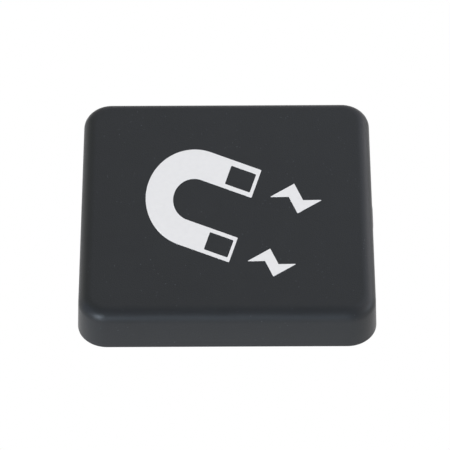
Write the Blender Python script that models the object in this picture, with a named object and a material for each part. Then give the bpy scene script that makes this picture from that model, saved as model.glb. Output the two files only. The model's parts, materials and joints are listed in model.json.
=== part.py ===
"""Pad-shaped watch demagnetizer: a drafted square cover over a flat coil, its drive board and a base plate.

Frame: metres, +Z up, +X to the user's right, +Y away from the user. The origin is under the middle of
the pad, on the surface that its rubber feet stand on.
"""

import math

import bmesh
import bpy
from mathutils import Vector

MM = 0.001
QUARTER = math.pi / 2
FULL = 2 * math.pi

# Clearances
SEAT_GAP = 0.2 * MM  # between faces that lie on each other
EDGE_GAP = 0.3 * MM  # round the outline of what sits in a hole or a recess

# Cover
PAD_WIDTH = 80 * MM  # across the rim, both ways
COVER_HEIGHT = 12.6 * MM  # rim to top face
CORNER_RADIUS = 8 * MM
TOP_FILLET = 3.5 * MM
DRAFT = math.radians(2.3)
WALL = 2 * MM
RIM_LIP = 1.2 * MM  # what is left of the wall outside the base plate

# Base plate and feet
FOOT_PROUD = 0.8 * MM  # the feet hold the rim this far off the table
FOOT_RADIUS = 5 * MM
FOOT_POCKET = 0.7 * MM
FOOT_INSET = 9 * MM  # rim to the foot's middle
FOOT_TO_SCREW = 4.2 * MM  # edge of the foot to edge of the screw's head
PLATE_RECESS = 0.2 * MM
PLATE_THICKNESS = 1.6 * MM
POST_RADIUS = 3.5 * MM
POST_RISE = 1.2 * MM
POST_INSET = 8.5 * MM  # rim to the corner screws, both ways

# Screws
SHANK_RADIUS = 0.85 * MM
PILOT_RADIUS = SHANK_RADIUS + EDGE_GAP
CASE_HEAD_RADIUS = 1.8 * MM
CASE_HEAD_HEIGHT = 1.2 * MM
CASE_HEAD_SINK = 1.5 * MM
BOARD_HEAD_RADIUS = 1.7 * MM
BOARD_HEAD_HEIGHT = 0.8 * MM
BOSS_RADIUS = 2.5 * MM
PILOT_CAP = 0.8 * MM  # plastic left above a pilot hole, under the top wall
TIP_SPACE = 0.8 * MM  # pilot hole left over past the screw's tip
RECESS_ARM = 1.1 * MM
RECESS_HALF_WIDTH = 0.28 * MM
RECESS_DEPTH = 0.6 * MM

# Board
BOARD_THICKNESS = 1.2 * MM
PART_STRIP = 10 * MM  # board outside the coil, where the parts stand

# Coil
FLANGE_THICKNESS = 0.7 * MM
HUB_WALL = 1 * MM
POLE_RADIUS = 7.6 * MM
CORE_DISC = 0.8 * MM
CORE_INSET = 0.7 * MM
WINDING_INSET = 1.5 * MM
TAPE_THICKNESS = 0.3 * MM
EAR_GAP = 1 * MM  # from the upper flange to the cover's boss over the ear
EAR_RADIUS = 2.6 * MM
EAR_WEB_WIDTH = 4 * MM
LEAD_ANGLE = math.radians(-20)
LEAD_WINDOW = math.radians(5)  # half of the gap in the tape
LEAD_RADIUS = 0.45 * MM
LEAD_PITCH = 2 * MM

# Push button and its switch, in the right-hand wall
BUTTON_LENGTH = 9 * MM
BUTTON_LAND = 0.65 * MM  # straight wall left above the slot, and as much below it
BUTTON_EDGE = 0.35 * MM
BUTTON_DOME = 0.12 * MM
BUTTON_FLANGE = 1 * MM
BUTTON_FLANGE_THICKNESS = 0.8 * MM
BUTTON_TRAVEL = 0.5 * MM
SWITCH_DEPTH = 3.5 * MM
SWITCH_WIDTH = 6 * MM
SWITCH_INSET = 2.1 * MM  # board edge to the switch's front
SWITCH_WALL = 0.7 * MM
SWITCH_POCKET_DEPTH = 2.8 * MM
PLUNGER_PROUD = 1.2 * MM
DOME_RISE = 0.7 * MM
DOME_SHEET = 0.12 * MM

# Status light beside the button
LIGHT_FROM_FLANGE = 3.5 * MM  # end of the button's flange to the middle of the light
LIGHT_PIPE_RADIUS = 1 * MM
LIGHT_PIPE_COLLAR = 0.7 * MM
LED_DEPTH = 1.4 * MM
LED_WIDTH = 3 * MM
LED_CROWN = 0.3 * MM  # body left above the lens
LED_INSET = 1.9 * MM
LED_LENS = 0.5 * MM
LENS_RADIUS = 0.9 * MM

# Power socket in the back wall
SOCKET_WIDTH = 8.94 * MM
SOCKET_HEIGHT = 3.26 * MM
SOCKET_LENGTH = 7.3 * MM
SOCKET_SHEET = 0.3 * MM
SOCKET_RECESS = 0.5 * MM
TONGUE_WIDTH = 6.6 * MM
TONGUE_THICKNESS = 0.7 * MM
TONGUE_ROOT = 1.6 * MM
TONGUE_SHY = 0.6 * MM

# Coil connector
HEADER_WIDTH = 6.4 * MM
HEADER_DEPTH = 4.6 * MM
HEADER_HEIGHT = 3.4 * MM
HEADER_WALL = 0.6 * MM
HEADER_INSET = 4.2 * MM
HEADER_ALONG = -14.7 * MM
PLUG_PROUD = 1.2 * MM

# Other parts on the board
CAN_RADIUS = 3.15 * MM
CAN_BASE = 6.6 * MM
CAN_BASE_HEIGHT = 1 * MM
CAN_HEADROOM = 0.4 * MM
CAN_PITCH = 7.6 * MM
INDUCTOR_SIDE = 7 * MM
INDUCTOR_HEADROOM = 1.8 * MM

ROUND_STEPS = 24
COIL_STEPS = 48
CAP_STEPS = 6
CORNER_STEPS = 8
FILLET_STEPS = 5

# Levels and outlines that follow from the sizes above
HALF = PAD_WIDTH / 2
RIM_Z = FOOT_PROUD
TOP_Z = RIM_Z + COVER_HEIGHT
CEILING_Z = TOP_Z - WALL
PLATE_Z = RIM_Z + PLATE_RECESS
PLATE_TOP_Z = PLATE_Z + PLATE_THICKNESS
POST_TOP_Z = PLATE_TOP_Z + POST_RISE
BOARD_Z = PLATE_TOP_Z + SEAT_GAP + BOARD_HEAD_HEIGHT + SEAT_GAP
BOARD_TOP_Z = BOARD_Z + BOARD_THICKNESS
PART_Z = BOARD_TOP_Z + SEAT_GAP
ROOM = CEILING_Z - PART_Z
STRAIGHT_ROOM = TOP_Z - TOP_FILLET - PART_Z  # board parts' level to the end of the straight wall
BUTTON_Z = PART_Z + STRAIGHT_ROOM / 2
BUTTON_HEIGHT = STRAIGHT_ROOM - 2 * BUTTON_LAND
SWITCH_POCKET_RADIUS = STRAIGHT_ROOM / 2 - SWITCH_WALL
PLUNGER_RADIUS = SWITCH_POCKET_RADIUS - EDGE_GAP
LIGHT_Z = BUTTON_Z
LIGHT_ALONG = BUTTON_LENGTH / 2 + BUTTON_FLANGE + LIGHT_FROM_FLANGE
SOCKET_Z = PART_Z + SOCKET_HEIGHT / 2
BUTTON_FACE_X = HALF - (BUTTON_Z - RIM_Z) * math.tan(DRAFT)
FLANGE_FACE_X = BUTTON_FACE_X - WALL - SEAT_GAP - EDGE_GAP
BOARD_HALF = FLANGE_FACE_X - BUTTON_FLANGE_THICKNESS - BUTTON_TRAVEL - EDGE_GAP
PLATE_HALF = HALF - RIM_LIP - EDGE_GAP
POST_AT = HALF - POST_INSET
FOOT_ALONG = POST_AT - CASE_HEAD_RADIUS - FOOT_TO_SCREW - FOOT_RADIUS
POST_ROOM = max(POST_RADIUS, BOSS_RADIUS) + EDGE_GAP
BOARD_CORNER_CUT = 2 * POST_AT - math.sqrt(2) * POST_ROOM - BOARD_HALF
FLANGE_RADIUS = BOARD_HALF - PART_STRIP
EAR_REACH = BOSS_RADIUS + EAR_GAP
LOW_FLANGE_Z = PART_Z + CORE_DISC + SEAT_GAP
WINDING_Z = LOW_FLANGE_Z + FLANGE_THICKNESS + SEAT_GAP
BOBBIN_TOP_Z = CEILING_Z - SEAT_GAP
WINDING_TOP_Z = BOBBIN_TOP_Z - FLANGE_THICKNESS - SEAT_GAP
HUB_INNER = POLE_RADIUS + SEAT_GAP
HUB_OUTER = HUB_INNER + HUB_WALL
WINDING_OUTER = FLANGE_RADIUS - WINDING_INSET
TAPE_INNER = WINDING_OUTER + SEAT_GAP
EAR_AT = (FLANGE_RADIUS + EAR_REACH) / math.sqrt(2)
PILOT_TOP_Z = CEILING_Z - PILOT_CAP

# Finish of each kind of piece: colour, roughness, metallic
FINISHES = {
    "case_plastic": ((0.037, 0.039, 0.043), 0.5, 0.0),
    "base_plastic": ((0.028, 0.029, 0.031), 0.6, 0.0),
    "foot_rubber": ((0.02, 0.02, 0.021), 0.85, 0.0),
    "screw_steel": ((0.42, 0.42, 0.43), 0.35, 1.0),
    "bobbin_nylon": ((0.05, 0.05, 0.052), 0.55, 0.0),
    "copper_wire": ((0.72, 0.30, 0.12), 0.3, 1.0),
    "coil_tape": ((0.75, 0.48, 0.06), 0.3, 0.0),
    "ferrite": ((0.07, 0.07, 0.075), 0.5, 0.0),
    "board_laminate": ((0.02, 0.16, 0.06), 0.35, 0.0),
    "socket_steel": ((0.6, 0.6, 0.61), 0.25, 1.0),
    "black_moulding": ((0.018, 0.018, 0.02), 0.5, 0.0),
    "capacitor_aluminium": ((0.75, 0.75, 0.77), 0.3, 1.0),
    "chip_epoxy": ((0.025, 0.025, 0.027), 0.55, 0.0),
    "chip_ceramic": ((0.45, 0.33, 0.22), 0.5, 0.0),
    "connector_nylon": ((0.78, 0.76, 0.70), 0.45, 0.0),
    "clear_acrylic": ((0.85, 0.88, 0.90), 0.08, 0.0),
    "led_epoxy": ((0.72, 0.80, 0.72), 0.25, 0.0),
    "button_plastic": ((0.037, 0.039, 0.043), 0.45, 0.0),
    "spring_steel": ((0.66, 0.65, 0.62), 0.25, 1.0),
    "red_insulation": ((0.45, 0.02, 0.02), 0.4, 0.0),
    "black_insulation": ((0.02, 0.02, 0.022), 0.4, 0.0),
}


# Outlines: lists of plan points, anticlockwise


def circle(radius, steps=ROUND_STEPS):
    angles = [FULL * step / steps for step in range(steps)]
    return [(radius * math.cos(a), radius * math.sin(a)) for a in angles]


def rounded_rectangle(half_x, half_y, radius, steps=CORNER_STEPS):
    points = []
    for corner, (side_x, side_y) in enumerate(((1, 1), (-1, 1), (-1, -1), (1, -1))):
        for step in range(steps + 1):
            angle = QUARTER * (corner + step / steps)
            x = side_x * (half_x - radius) + radius * math.cos(angle)
            y = side_y * (half_y - radius) + radius * math.sin(angle)
            points.append((x, y))
    return points


def rounded_square(half, radius):
    return rounded_rectangle(half, half, radius)


def stadium(length, height, steps=5):
    """Slot outline; the ends stay a hair short of half round, so that no two points meet."""
    return rounded_rectangle(length / 2, height / 2, 0.499 * height, steps)


def rectangle(width, depth):
    x, y = width / 2, depth / 2
    return [(x, -y), (x, y), (-x, y), (-x, -y)]


def cut_cornered_square(half, cut):
    """Square whose corners are cut off where an edge has run as far as cut from its middle."""
    eighth = [(half, cut), (cut, half)]
    return [p for turn in range(4) for p in turned_points(eighth, turn)]


def turned_points(points, quarters):
    for _ in range(quarters):
        points = [(-y, x) for x, y in points]
    return points


# Meshes


def mesh_from(name, bm):
    bmesh.ops.recalc_face_normals(bm, faces=bm.faces)
    mesh = bpy.data.meshes.new(name)
    bm.to_mesh(mesh)
    bm.free()
    return mesh


def loft(name, rings, closed=False):
    """Skin over rings of points that correspond. Its ends are capped, or joined if closed."""
    bm = bmesh.new()
    skin(bm, rings, closed)
    return mesh_from(name, bm)


def skin(bm, rings, closed=False):
    rows = [[bm.verts.new(point) for point in ring] for ring in rings]
    pairs = list(zip(rows, rows[1:]))
    if closed:
        pairs.append((rows[-1], rows[0]))
    else:
        bm.faces.new(rows[0])
        bm.faces.new(rows[-1])
    count = len(rows[0])
    for low, high in pairs:
        for i in range(count):
            j = (i + 1) % count
            bm.faces.new((low[i], low[j], high[j], high[i]))


def stacked(name, levels, at=(0, 0)):
    """Loft through (outline, height) levels."""
    return loft(name, [raised(outline, z, at) for outline, z in levels])


def raised(outline, z, at=(0, 0)):
    return [(x + at[0], y + at[1], z) for x, y in outline]


def prisms(name, outline, low, high, places):
    """The same upright prism at several places, as one mesh."""
    bm = bmesh.new()
    for place in places:
        skin(bm, [raised(outline, low, place), raised(outline, high, place)])
    return mesh_from(name, bm)


def turned(name, section, steps=COIL_STEPS):
    """Ring with a closed (radius, height) section about the Z axis."""
    return loft(name, [section_at(section, FULL * i / steps) for i in range(steps)], closed=True)


def section_at(section, angle):
    return [(r * math.cos(angle), r * math.sin(angle), z) for r, z in section]


def block(name, width, depth, height, bevel=0.0):
    """Box that stands on its own XY plane, with its edges bevelled."""
    bm = bmesh.new()
    skin(bm, [raised(rectangle(width, depth), z) for z in (0, height)])
    if bevel:
        bmesh.ops.bevel(bm, geom=bm.edges[:], offset=bevel, segments=1, affect="EDGES")
    return mesh_from(name, bm)


def combined(base, *steps):
    """The mesh after Boolean steps, each an operation and the mesh that it uses."""
    name = base.name
    helpers = [bpy.data.objects.new("work", base)]
    bpy.context.scene.collection.objects.link(helpers[0])
    for operation, tool in steps:
        helper = bpy.data.objects.new("tool", tool)
        bpy.context.scene.collection.objects.link(helper)
        modifier = helpers[0].modifiers.new(operation, "BOOLEAN")
        modifier.operation = operation
        modifier.solver = "EXACT"
        modifier.object = helper
        helpers.append(helper)
    bpy.context.view_layer.update()
    evaluated = helpers[0].evaluated_get(bpy.context.evaluated_depsgraph_get())
    result = bpy.data.meshes.new_from_object(evaluated)
    for helper in helpers:
        used = helper.data
        bpy.data.objects.remove(helper)
        bpy.data.meshes.remove(used)
    result.name = name
    return result


def moved(mesh, x=0.0, y=0.0, z=0.0, quarters=0, lying=False):
    """The mesh turned by quarter turns about Z, or laid with its Z axis along +X, and moved."""
    for vertex in mesh.vertices:
        px, py, pz = vertex.co
        if lying:
            px, py, pz = pz, px, py
        (px, py), = turned_points([(px, py)], quarters % 4)
        vertex.co = (px + x, py + y, pz + z)
    return mesh


# Objects


def finish_material(slot):
    material = bpy.data.materials.get(slot)
    if material is None:
        colour, roughness, metallic = FINISHES[slot]
        material = bpy.data.materials.new(slot)
        material.use_nodes = True
        shader = material.node_tree.nodes["Principled BSDF"]
        shader.inputs["Base Color"].default_value = (*colour, 1)
        shader.inputs["Roughness"].default_value = roughness
        shader.inputs["Metallic"].default_value = metallic
    return material


def place(name, mesh, slot, location=(0, 0, 0), turn=0.0, parent=None):
    """Named object with its finish; turn is its rotation about Z."""
    mesh.shade_smooth()
    mesh.set_sharp_from_angle(angle=math.radians(35))
    if not mesh.materials:
        mesh.materials.append(finish_material(slot))
    part = bpy.data.objects.new(name, mesh)
    bpy.context.scene.collection.objects.link(part)
    part.location = location
    part.rotation_euler = (0, 0, turn)
    part.parent = parent
    return part


def corners(distance):
    """The four points this far from both middle lines, anticlockwise from back right."""
    return [(x * distance, y * distance) for x, y in ((1, 1), (-1, 1), (-1, -1), (1, -1))]


def wall_face(z):
    """How far the outer wall stands from the middle at height z."""
    return HALF - (z - RIM_Z) * math.tan(DRAFT)


# Casing


def tray_levels(half, radius, low, high, fillet, steps=FILLET_STEPS):
    """Levels of a drafted, round-cornered block with a rounded top edge.

    half and radius belong to the outline at the rim's height.
    """
    slope = math.tan(DRAFT)
    centre_z = high - fillet
    centre_inset = (centre_z - RIM_Z) * slope + fillet / math.cos(DRAFT)
    profile = [((low - RIM_Z) * slope, low)]
    for step in range(steps + 1):
        angle = DRAFT + (QUARTER - DRAFT) * step / steps
        profile.append((centre_inset - fillet * math.cos(angle), centre_z + fillet * math.sin(angle)))
    return [(rounded_square(half - inset, radius - inset), z) for inset, z in profile]


def top_cover():
    shell = stacked("top_cover", tray_levels(HALF, CORNER_RADIUS, RIM_Z, TOP_Z, TOP_FILLET))
    ledge_z = PLATE_TOP_Z + SEAT_GAP
    below = RIM_Z - 1 * MM
    cavity = stacked(
        "cavity", tray_levels(HALF - WALL, CORNER_RADIUS - WALL, below, CEILING_Z, TOP_FILLET - WALL, 3)
    )
    seat = rounded_square(HALF - RIM_LIP, CORNER_RADIUS - RIM_LIP)
    rebate = stacked("rebate", [(seat, below), (seat, ledge_z)])
    into_wall = CEILING_Z + WALL / 2
    boss, post_seat, ear_seat = circle(BOSS_RADIUS), POST_TOP_Z + SEAT_GAP, WINDING_Z
    corner_bosses = prisms("corner_bosses", boss, post_seat, into_wall, corners(POST_AT))
    ear_bosses = prisms("ear_bosses", boss, ear_seat, into_wall, corners(EAR_AT))
    pilots = prisms(
        "pilots", circle(PILOT_RADIUS, 12), PLATE_TOP_Z, PILOT_TOP_Z, corners(POST_AT) + corners(EAR_AT)
    )
    reach = 4 * WALL
    button_slot = stadium(BUTTON_LENGTH + 2 * EDGE_GAP, BUTTON_HEIGHT + 2 * EDGE_GAP, CAP_STEPS)
    socket_slot = stadium(SOCKET_WIDTH + 2 * EDGE_GAP, SOCKET_HEIGHT + 2 * EDGE_GAP)
    light_hole = circle(LIGHT_PIPE_RADIUS + EDGE_GAP, 16)
    button_cut = stacked("button_cut", [(button_slot, 0), (button_slot, reach)])
    light_cut = stacked("light_cut", [(light_hole, 0), (light_hole, reach)])
    socket_cut = stacked("socket_cut", [(socket_slot, 0), (socket_slot, reach)])
    start = HALF - reach / 2
    return combined(
        shell,
        ("DIFFERENCE", cavity),
        ("DIFFERENCE", rebate),
        ("UNION", corner_bosses),
        ("UNION", ear_bosses),
        ("DIFFERENCE", pilots),
        ("DIFFERENCE", moved(button_cut, x=start, z=BUTTON_Z, lying=True)),
        ("DIFFERENCE", moved(light_cut, x=start, y=LIGHT_ALONG, z=LIGHT_Z, lying=True)),
        ("DIFFERENCE", moved(socket_cut, y=start, z=SOCKET_Z, quarters=1, lying=True)),
    )


def foot_places():
    across = HALF - FOOT_INSET
    return [(x * FOOT_ALONG, y * across) for x, y in ((1, 1), (-1, 1), (-1, -1), (1, -1))]


def base_plate():
    outline = rounded_square(PLATE_HALF, CORNER_RADIUS - RIM_LIP - EDGE_GAP)
    edge = 0.3 * MM
    shy = rounded_square(PLATE_HALF - edge, CORNER_RADIUS - RIM_LIP - EDGE_GAP - edge)
    plate = stacked("base_plate", [(shy, PLATE_Z), (outline, PLATE_Z + edge), (outline, PLATE_TOP_Z)])
    posts = prisms("posts", circle(POST_RADIUS), PLATE_Z + PLATE_THICKNESS / 2, POST_TOP_Z, corners(POST_AT))
    below = PLATE_Z - 1 * MM
    sink = circle(CASE_HEAD_RADIUS + EDGE_GAP)
    sinks = prisms("sinks", sink, below, PLATE_Z + CASE_HEAD_SINK, corners(POST_AT))
    holes = prisms("holes", circle(PILOT_RADIUS, 12), below, POST_TOP_Z + 1 * MM, corners(POST_AT))
    pocket = circle(FOOT_RADIUS + EDGE_GAP)
    pockets = prisms("pockets", pocket, below, PLATE_Z + FOOT_POCKET, foot_places())
    return combined(
        plate, ("UNION", posts), ("DIFFERENCE", sinks), ("DIFFERENCE", holes), ("DIFFERENCE", pockets)
    )


def rubber_foot():
    height = FOOT_PROUD + PLATE_RECESS + FOOT_POCKET - SEAT_GAP
    round_edge = 0.4 * MM
    return stacked(
        "rubber_foot",
        [
            (circle(FOOT_RADIUS - round_edge), 0),
            (circle(FOOT_RADIUS - 0.3 * round_edge), 0.3 * round_edge),
            (circle(FOOT_RADIUS), round_edge),
            (circle(FOOT_RADIUS), height),
        ],
    )


def cross_outline(arm, half_width):
    quarter = [(arm, -half_width), (arm, half_width), (half_width, half_width)]
    return [p for turn in range(4) for p in turned_points(quarter, turn)]


def screw(name, head_radius, head_height, length):
    """Cross-head screw that points up, with the underside of its head at z = 0."""
    crown = 0.3 * MM
    tip = 0.4 * MM
    body = stacked(
        name,
        [
            (circle(head_radius - crown), -head_height),
            (circle(head_radius), crown - head_height),
            (circle(head_radius), 0),
            (circle(SHANK_RADIUS), 0),
            (circle(SHANK_RADIUS), length - tip),
            (circle(SHANK_RADIUS - tip), length),
        ],
    )
    floor = 0.5
    recess = stacked(
        "recess",
        [
            (cross_outline(RECESS_ARM, RECESS_HALF_WIDTH), -head_height - RECESS_DEPTH),
            (cross_outline(RECESS_ARM, RECESS_HALF_WIDTH), -head_height),
            (cross_outline(RECESS_ARM * floor, RECESS_HALF_WIDTH * floor), RECESS_DEPTH - head_height),
        ],
    )
    return combined(body, ("DIFFERENCE", recess))


def make_casing():
    place("top_cover", top_cover(), "case_plastic")
    place("base_plate", base_plate(), "base_plastic")
    foot = rubber_foot()
    seat_z = PLATE_Z + CASE_HEAD_SINK - SEAT_GAP
    case_screw = screw("case_screw", CASE_HEAD_RADIUS, CASE_HEAD_HEIGHT, PILOT_TOP_Z - TIP_SPACE - seat_z)
    for number, (foot_at, screw_at) in enumerate(zip(foot_places(), corners(POST_AT)), start=1):
        place(f"rubber_foot_{number}", foot, "foot_rubber", (*foot_at, 0))
        place(f"case_screw_{number}", case_screw, "screw_steel", (*screw_at, seat_z))


# Coil


def coil_bobbin():
    low_top = LOW_FLANGE_Z + FLANGE_THICKNESS
    high_low = BOBBIN_TOP_Z - FLANGE_THICKNESS
    spool = turned(
        "coil_bobbin",
        [
            (HUB_INNER, LOW_FLANGE_Z),
            (FLANGE_RADIUS, LOW_FLANGE_Z),
            (FLANGE_RADIUS, low_top),
            (HUB_OUTER, low_top),
            (HUB_OUTER, high_low),
            (FLANGE_RADIUS, high_low),
            (FLANGE_RADIUS, BOBBIN_TOP_Z),
            (HUB_INNER, BOBBIN_TOP_Z),
        ],
    )
    webs = bmesh.new()
    inner, outer, half = FLANGE_RADIUS - 1 * MM, FLANGE_RADIUS + EAR_REACH, EAR_WEB_WIDTH / 2
    web = [(inner, -half), (outer, -half), (outer, half), (inner, half)]
    for turn in range(4):
        angle = QUARTER * (turn + 0.5)
        c, s = math.cos(angle), math.sin(angle)
        spread = [(x * c - y * s, x * s + y * c) for x, y in web]
        skin(webs, [raised(spread, z) for z in (LOW_FLANGE_Z, low_top)])
    ears = prisms("ears", circle(EAR_RADIUS), PART_Z, low_top, corners(EAR_AT))
    holes = prisms("holes", circle(PILOT_RADIUS, 12), BOARD_Z, WINDING_TOP_Z, corners(EAR_AT))
    return combined(spool, ("UNION", mesh_from("webs", webs)), ("UNION", ears), ("DIFFERENCE", holes))


def coil_tape():
    """Band round the winding, open where the leads come out."""
    outer = TAPE_INNER + TAPE_THICKNESS
    section = [
        (TAPE_INNER, WINDING_Z),
        (outer, WINDING_Z),
        (outer, WINDING_TOP_Z),
        (TAPE_INNER, WINDING_TOP_Z),
    ]
    first, sweep = LEAD_ANGLE + LEAD_WINDOW, FULL - 2 * LEAD_WINDOW
    angles = [first + sweep * step / COIL_STEPS for step in range(COIL_STEPS + 1)]
    return loft("coil_tape", [section_at(section, angle) for angle in angles])


def ferrite_core():
    """Disc under the bobbin with a round pole up through its hub."""
    disc_radius = FLANGE_RADIUS - CORE_INSET
    disc_top = PART_Z + CORE_DISC
    return stacked(
        "ferrite_core",
        [
            (circle(disc_radius, COIL_STEPS), PART_Z),
            (circle(disc_radius, COIL_STEPS), disc_top),
            (circle(POLE_RADIUS, COIL_STEPS), disc_top),
            (circle(POLE_RADIUS, COIL_STEPS), BOBBIN_TOP_Z),
        ],
    )


def smooth_route(points, spacing):
    """Points about this far apart on a Catmull-Rom curve through the route's points."""
    ends = [points[0] * 2 - points[1], *points, points[-1] * 2 - points[-2]]
    route = []
    for a, b, c, d in zip(ends, ends[1:], ends[2:], ends[3:]):
        steps = max(1, round((c - b).length / spacing))
        for step in range(steps):
            t = step / steps
            bend = (a * 2 - b * 5 + c * 4 - d) * t**2 + (b * 3 - a - c * 3 + d) * t**3
            route.append((b * 2 + (c - a) * t + bend) / 2)
    return [*route, points[-1]]


def coil_lead_route(side):
    """Round from the gap in the tape to the back of the plug; side is -1 or 1 of the pair's middle."""
    plug_x, plug_y = BOARD_HALF - HEADER_INSET, HEADER_ALONG - HEADER_DEPTH / 2 - PLUG_PROUD - SEAT_GAP
    plug_z = PART_Z + HEADER_HEIGHT / 2
    out = Vector((math.cos(LEAD_ANGLE), math.sin(LEAD_ANGLE), 0))
    across = Vector((-out.y, out.x, 0)) * side * LEAD_PITCH / 2
    start = out * (TAPE_INNER + EDGE_GAP / 2) + Vector((0, 0, (WINDING_Z + WINDING_TOP_Z) / 2))
    offset = side * LEAD_PITCH / 2
    run_x = plug_x - HEADER_WIDTH / 2 - EDGE_GAP - LEAD_RADIUS - LEAD_PITCH / 2
    turn_y = plug_y - 2.2 * MM
    middle_x = (run_x + plug_x) / 2
    return [
        start + across,
        start + across + out * 1.2 * MM,
        Vector((run_x - 0.4 * MM + offset, start.y - 3.2 * MM + offset, plug_z + 1.4 * MM)),
        Vector((run_x + offset, plug_y + 3 * MM, plug_z + 0.3 * MM)),
        Vector((run_x + 0.5 * MM + offset, turn_y + 0.8 * MM, plug_z)),
        Vector((middle_x, turn_y - 0.9 * MM + offset, plug_z)),
        Vector((plug_x - 0.5 * MM - offset, turn_y + 0.8 * MM, plug_z)),
        Vector((plug_x - offset, plug_y - 0.6 * MM, plug_z)),
        Vector((plug_x - offset, plug_y, plug_z)),
    ]


def wire(name, route, slot):
    curve = bpy.data.curves.new(name, "CURVE")
    curve.dimensions = "3D"
    curve.bevel_depth = LEAD_RADIUS
    curve.bevel_resolution = 2
    curve.use_fill_caps = True
    spline = curve.splines.new("POLY")
    points = smooth_route(route, 4 * LEAD_RADIUS)
    spline.points.add(len(points) - 1)
    for target, point in zip(spline.points, points):
        target.co = (*point, 1)
    curve.materials.append(finish_material(slot))
    lead = bpy.data.objects.new(name, curve)
    bpy.context.scene.collection.objects.link(lead)


def make_coil():
    place("coil_bobbin", coil_bobbin(), "bobbin_nylon")
    section = [
        (HUB_OUTER + SEAT_GAP, WINDING_Z),
        (WINDING_OUTER, WINDING_Z),
        (WINDING_OUTER, WINDING_TOP_Z),
        (HUB_OUTER + SEAT_GAP, WINDING_TOP_Z),
    ]
    place("coil_winding", turned("coil_winding", section), "copper_wire")
    place("coil_tape", coil_tape(), "coil_tape")
    place("ferrite_core", ferrite_core(), "ferrite")
    wire("coil_lead_start", coil_lead_route(-1), "red_insulation")
    wire("coil_lead_finish", coil_lead_route(1), "black_insulation")


# Board and its parts


def circuit_board():
    outline = cut_cornered_square(BOARD_HALF, BOARD_CORNER_CUT)
    board = stacked("circuit_board", [(outline, BOARD_Z), (outline, BOARD_TOP_Z)])
    holes = prisms("holes", circle(PILOT_RADIUS, 12), BOARD_Z - 1 * MM, PART_Z, corners(EAR_AT))
    return combined(board, ("DIFFERENCE", holes))


def edge_spot(side, along, inset=PART_STRIP / 2):
    """Place and turn of a part this far in from a board edge; its front faces that edge."""
    quarters = {"right": 0, "back": 1, "left": 2, "front": 3}[side]
    (x, y), = turned_points([(BOARD_HALF - inset, along)], quarters)
    return (x, y, PART_Z), quarters * QUARTER


def gull_wing_chip(name, length, width, height, pins, pitch):
    """Chip package with a row of bent leads on each long side; its length lies along Y."""
    foot_reach, pin_width, foot_thickness = 1.0 * MM, pitch * 0.32, 0.2 * MM
    stand_off = 0.15 * MM
    body = moved(block(name, width, length, height - stand_off, 0.12 * MM), z=stand_off)
    leads = bmesh.new()
    inside, shoulder = width / 2 - 0.3 * MM, width / 2 + 0.35 * MM
    tip, mid_z = width / 2 + foot_reach, height * 0.55
    lead = [
        (inside, mid_z),
        (shoulder - foot_thickness, mid_z),
        (shoulder - foot_thickness, 0),
        (tip, 0),
        (tip, foot_thickness),
        (shoulder, foot_thickness),
        (shoulder, mid_z + foot_thickness),
        (inside, mid_z + foot_thickness),
    ]
    for side in (-1, 1):
        for pin in range(pins):
            y = (pin - (pins - 1) / 2) * pitch
            rows = [[(side * x, y + edge, z) for x, z in lead] for edge in (-pin_width / 2, pin_width / 2)]
            skin(leads, rows)
    return combined(body, ("UNION", mesh_from("leads", leads)))


def storage_capacitor():
    """Surface-mount aluminium can on its moulded base."""
    height = ROOM - CAN_HEADROOM
    rounding, waist, groove = 0.5 * MM, 0.25 * MM, 0.5 * MM
    half, cut = CAN_BASE / 2, 1.2 * MM
    base_outline = [(half, -half), (half, half), (cut - half, half), (-half, half - cut)]
    base_outline += [(-half, cut - half), (cut - half, -half)]
    base = stacked("storage_capacitor", [(base_outline, 0), (base_outline, CAN_BASE_HEIGHT)])
    groove_z = CAN_BASE_HEIGHT + groove
    can = stacked(
        "can",
        [
            (circle(CAN_RADIUS), CAN_BASE_HEIGHT / 2),
            (circle(CAN_RADIUS), groove_z),
            (circle(CAN_RADIUS - waist), groove_z + waist),
            (circle(CAN_RADIUS - waist), groove_z + 2 * waist),
            (circle(CAN_RADIUS), groove_z + 3 * waist),
            (circle(CAN_RADIUS), height - rounding),
            (circle(CAN_RADIUS - 0.3 * rounding), height - 0.3 * rounding),
            (circle(CAN_RADIUS - rounding), height),
        ],
    )
    return combined(base, ("UNION", can))


def boost_inductor():
    height = ROOM - INDUCTOR_HEADROOM
    half, cut, base = INDUCTOR_SIDE / 2, INDUCTOR_SIDE / 2 - 1.1 * MM, 0.6 * MM
    square, ring = cut_cornered_square(half, cut), circle(half - 0.6 * MM)
    shield = stacked("boost_inductor", [(square, 0), (square, height)])
    bore = stacked("bore", [(ring, height - base), (ring, height + base)])
    drum_outline = circle(half - 1.2 * MM)
    drum = stacked("drum", [(drum_outline, height - 2 * base), (drum_outline, height - base / 3)])
    return combined(shield, ("DIFFERENCE", bore), ("UNION", drum))


def brick(name, depth_mm, width_mm, height_mm):
    """Small moulded or ceramic part, sized in millimetres."""
    return block(name, depth_mm * MM, width_mm * MM, height_mm * MM, 0.12 * MM)


def lead_header():
    """Two-pin socket, open at its front."""
    body = block("lead_header", HEADER_DEPTH, HEADER_WIDTH, HEADER_HEIGHT)
    inside = block("inside", HEADER_DEPTH, HEADER_WIDTH - 2 * HEADER_WALL, HEADER_HEIGHT - 2 * HEADER_WALL)
    return combined(body, ("DIFFERENCE", moved(inside, x=HEADER_WALL, z=HEADER_WALL)))


def lead_plug():
    """Plug in the header, standing proud of its mouth."""
    shrink = 2 * (HEADER_WALL + SEAT_GAP)
    depth = HEADER_DEPTH - HEADER_WALL - SEAT_GAP + PLUG_PROUD
    body = block("lead_plug", depth, HEADER_WIDTH - shrink, HEADER_HEIGHT - shrink)
    return moved(body, x=(HEADER_WALL + SEAT_GAP + PLUG_PROUD) / 2, z=shrink / 2)


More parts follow.
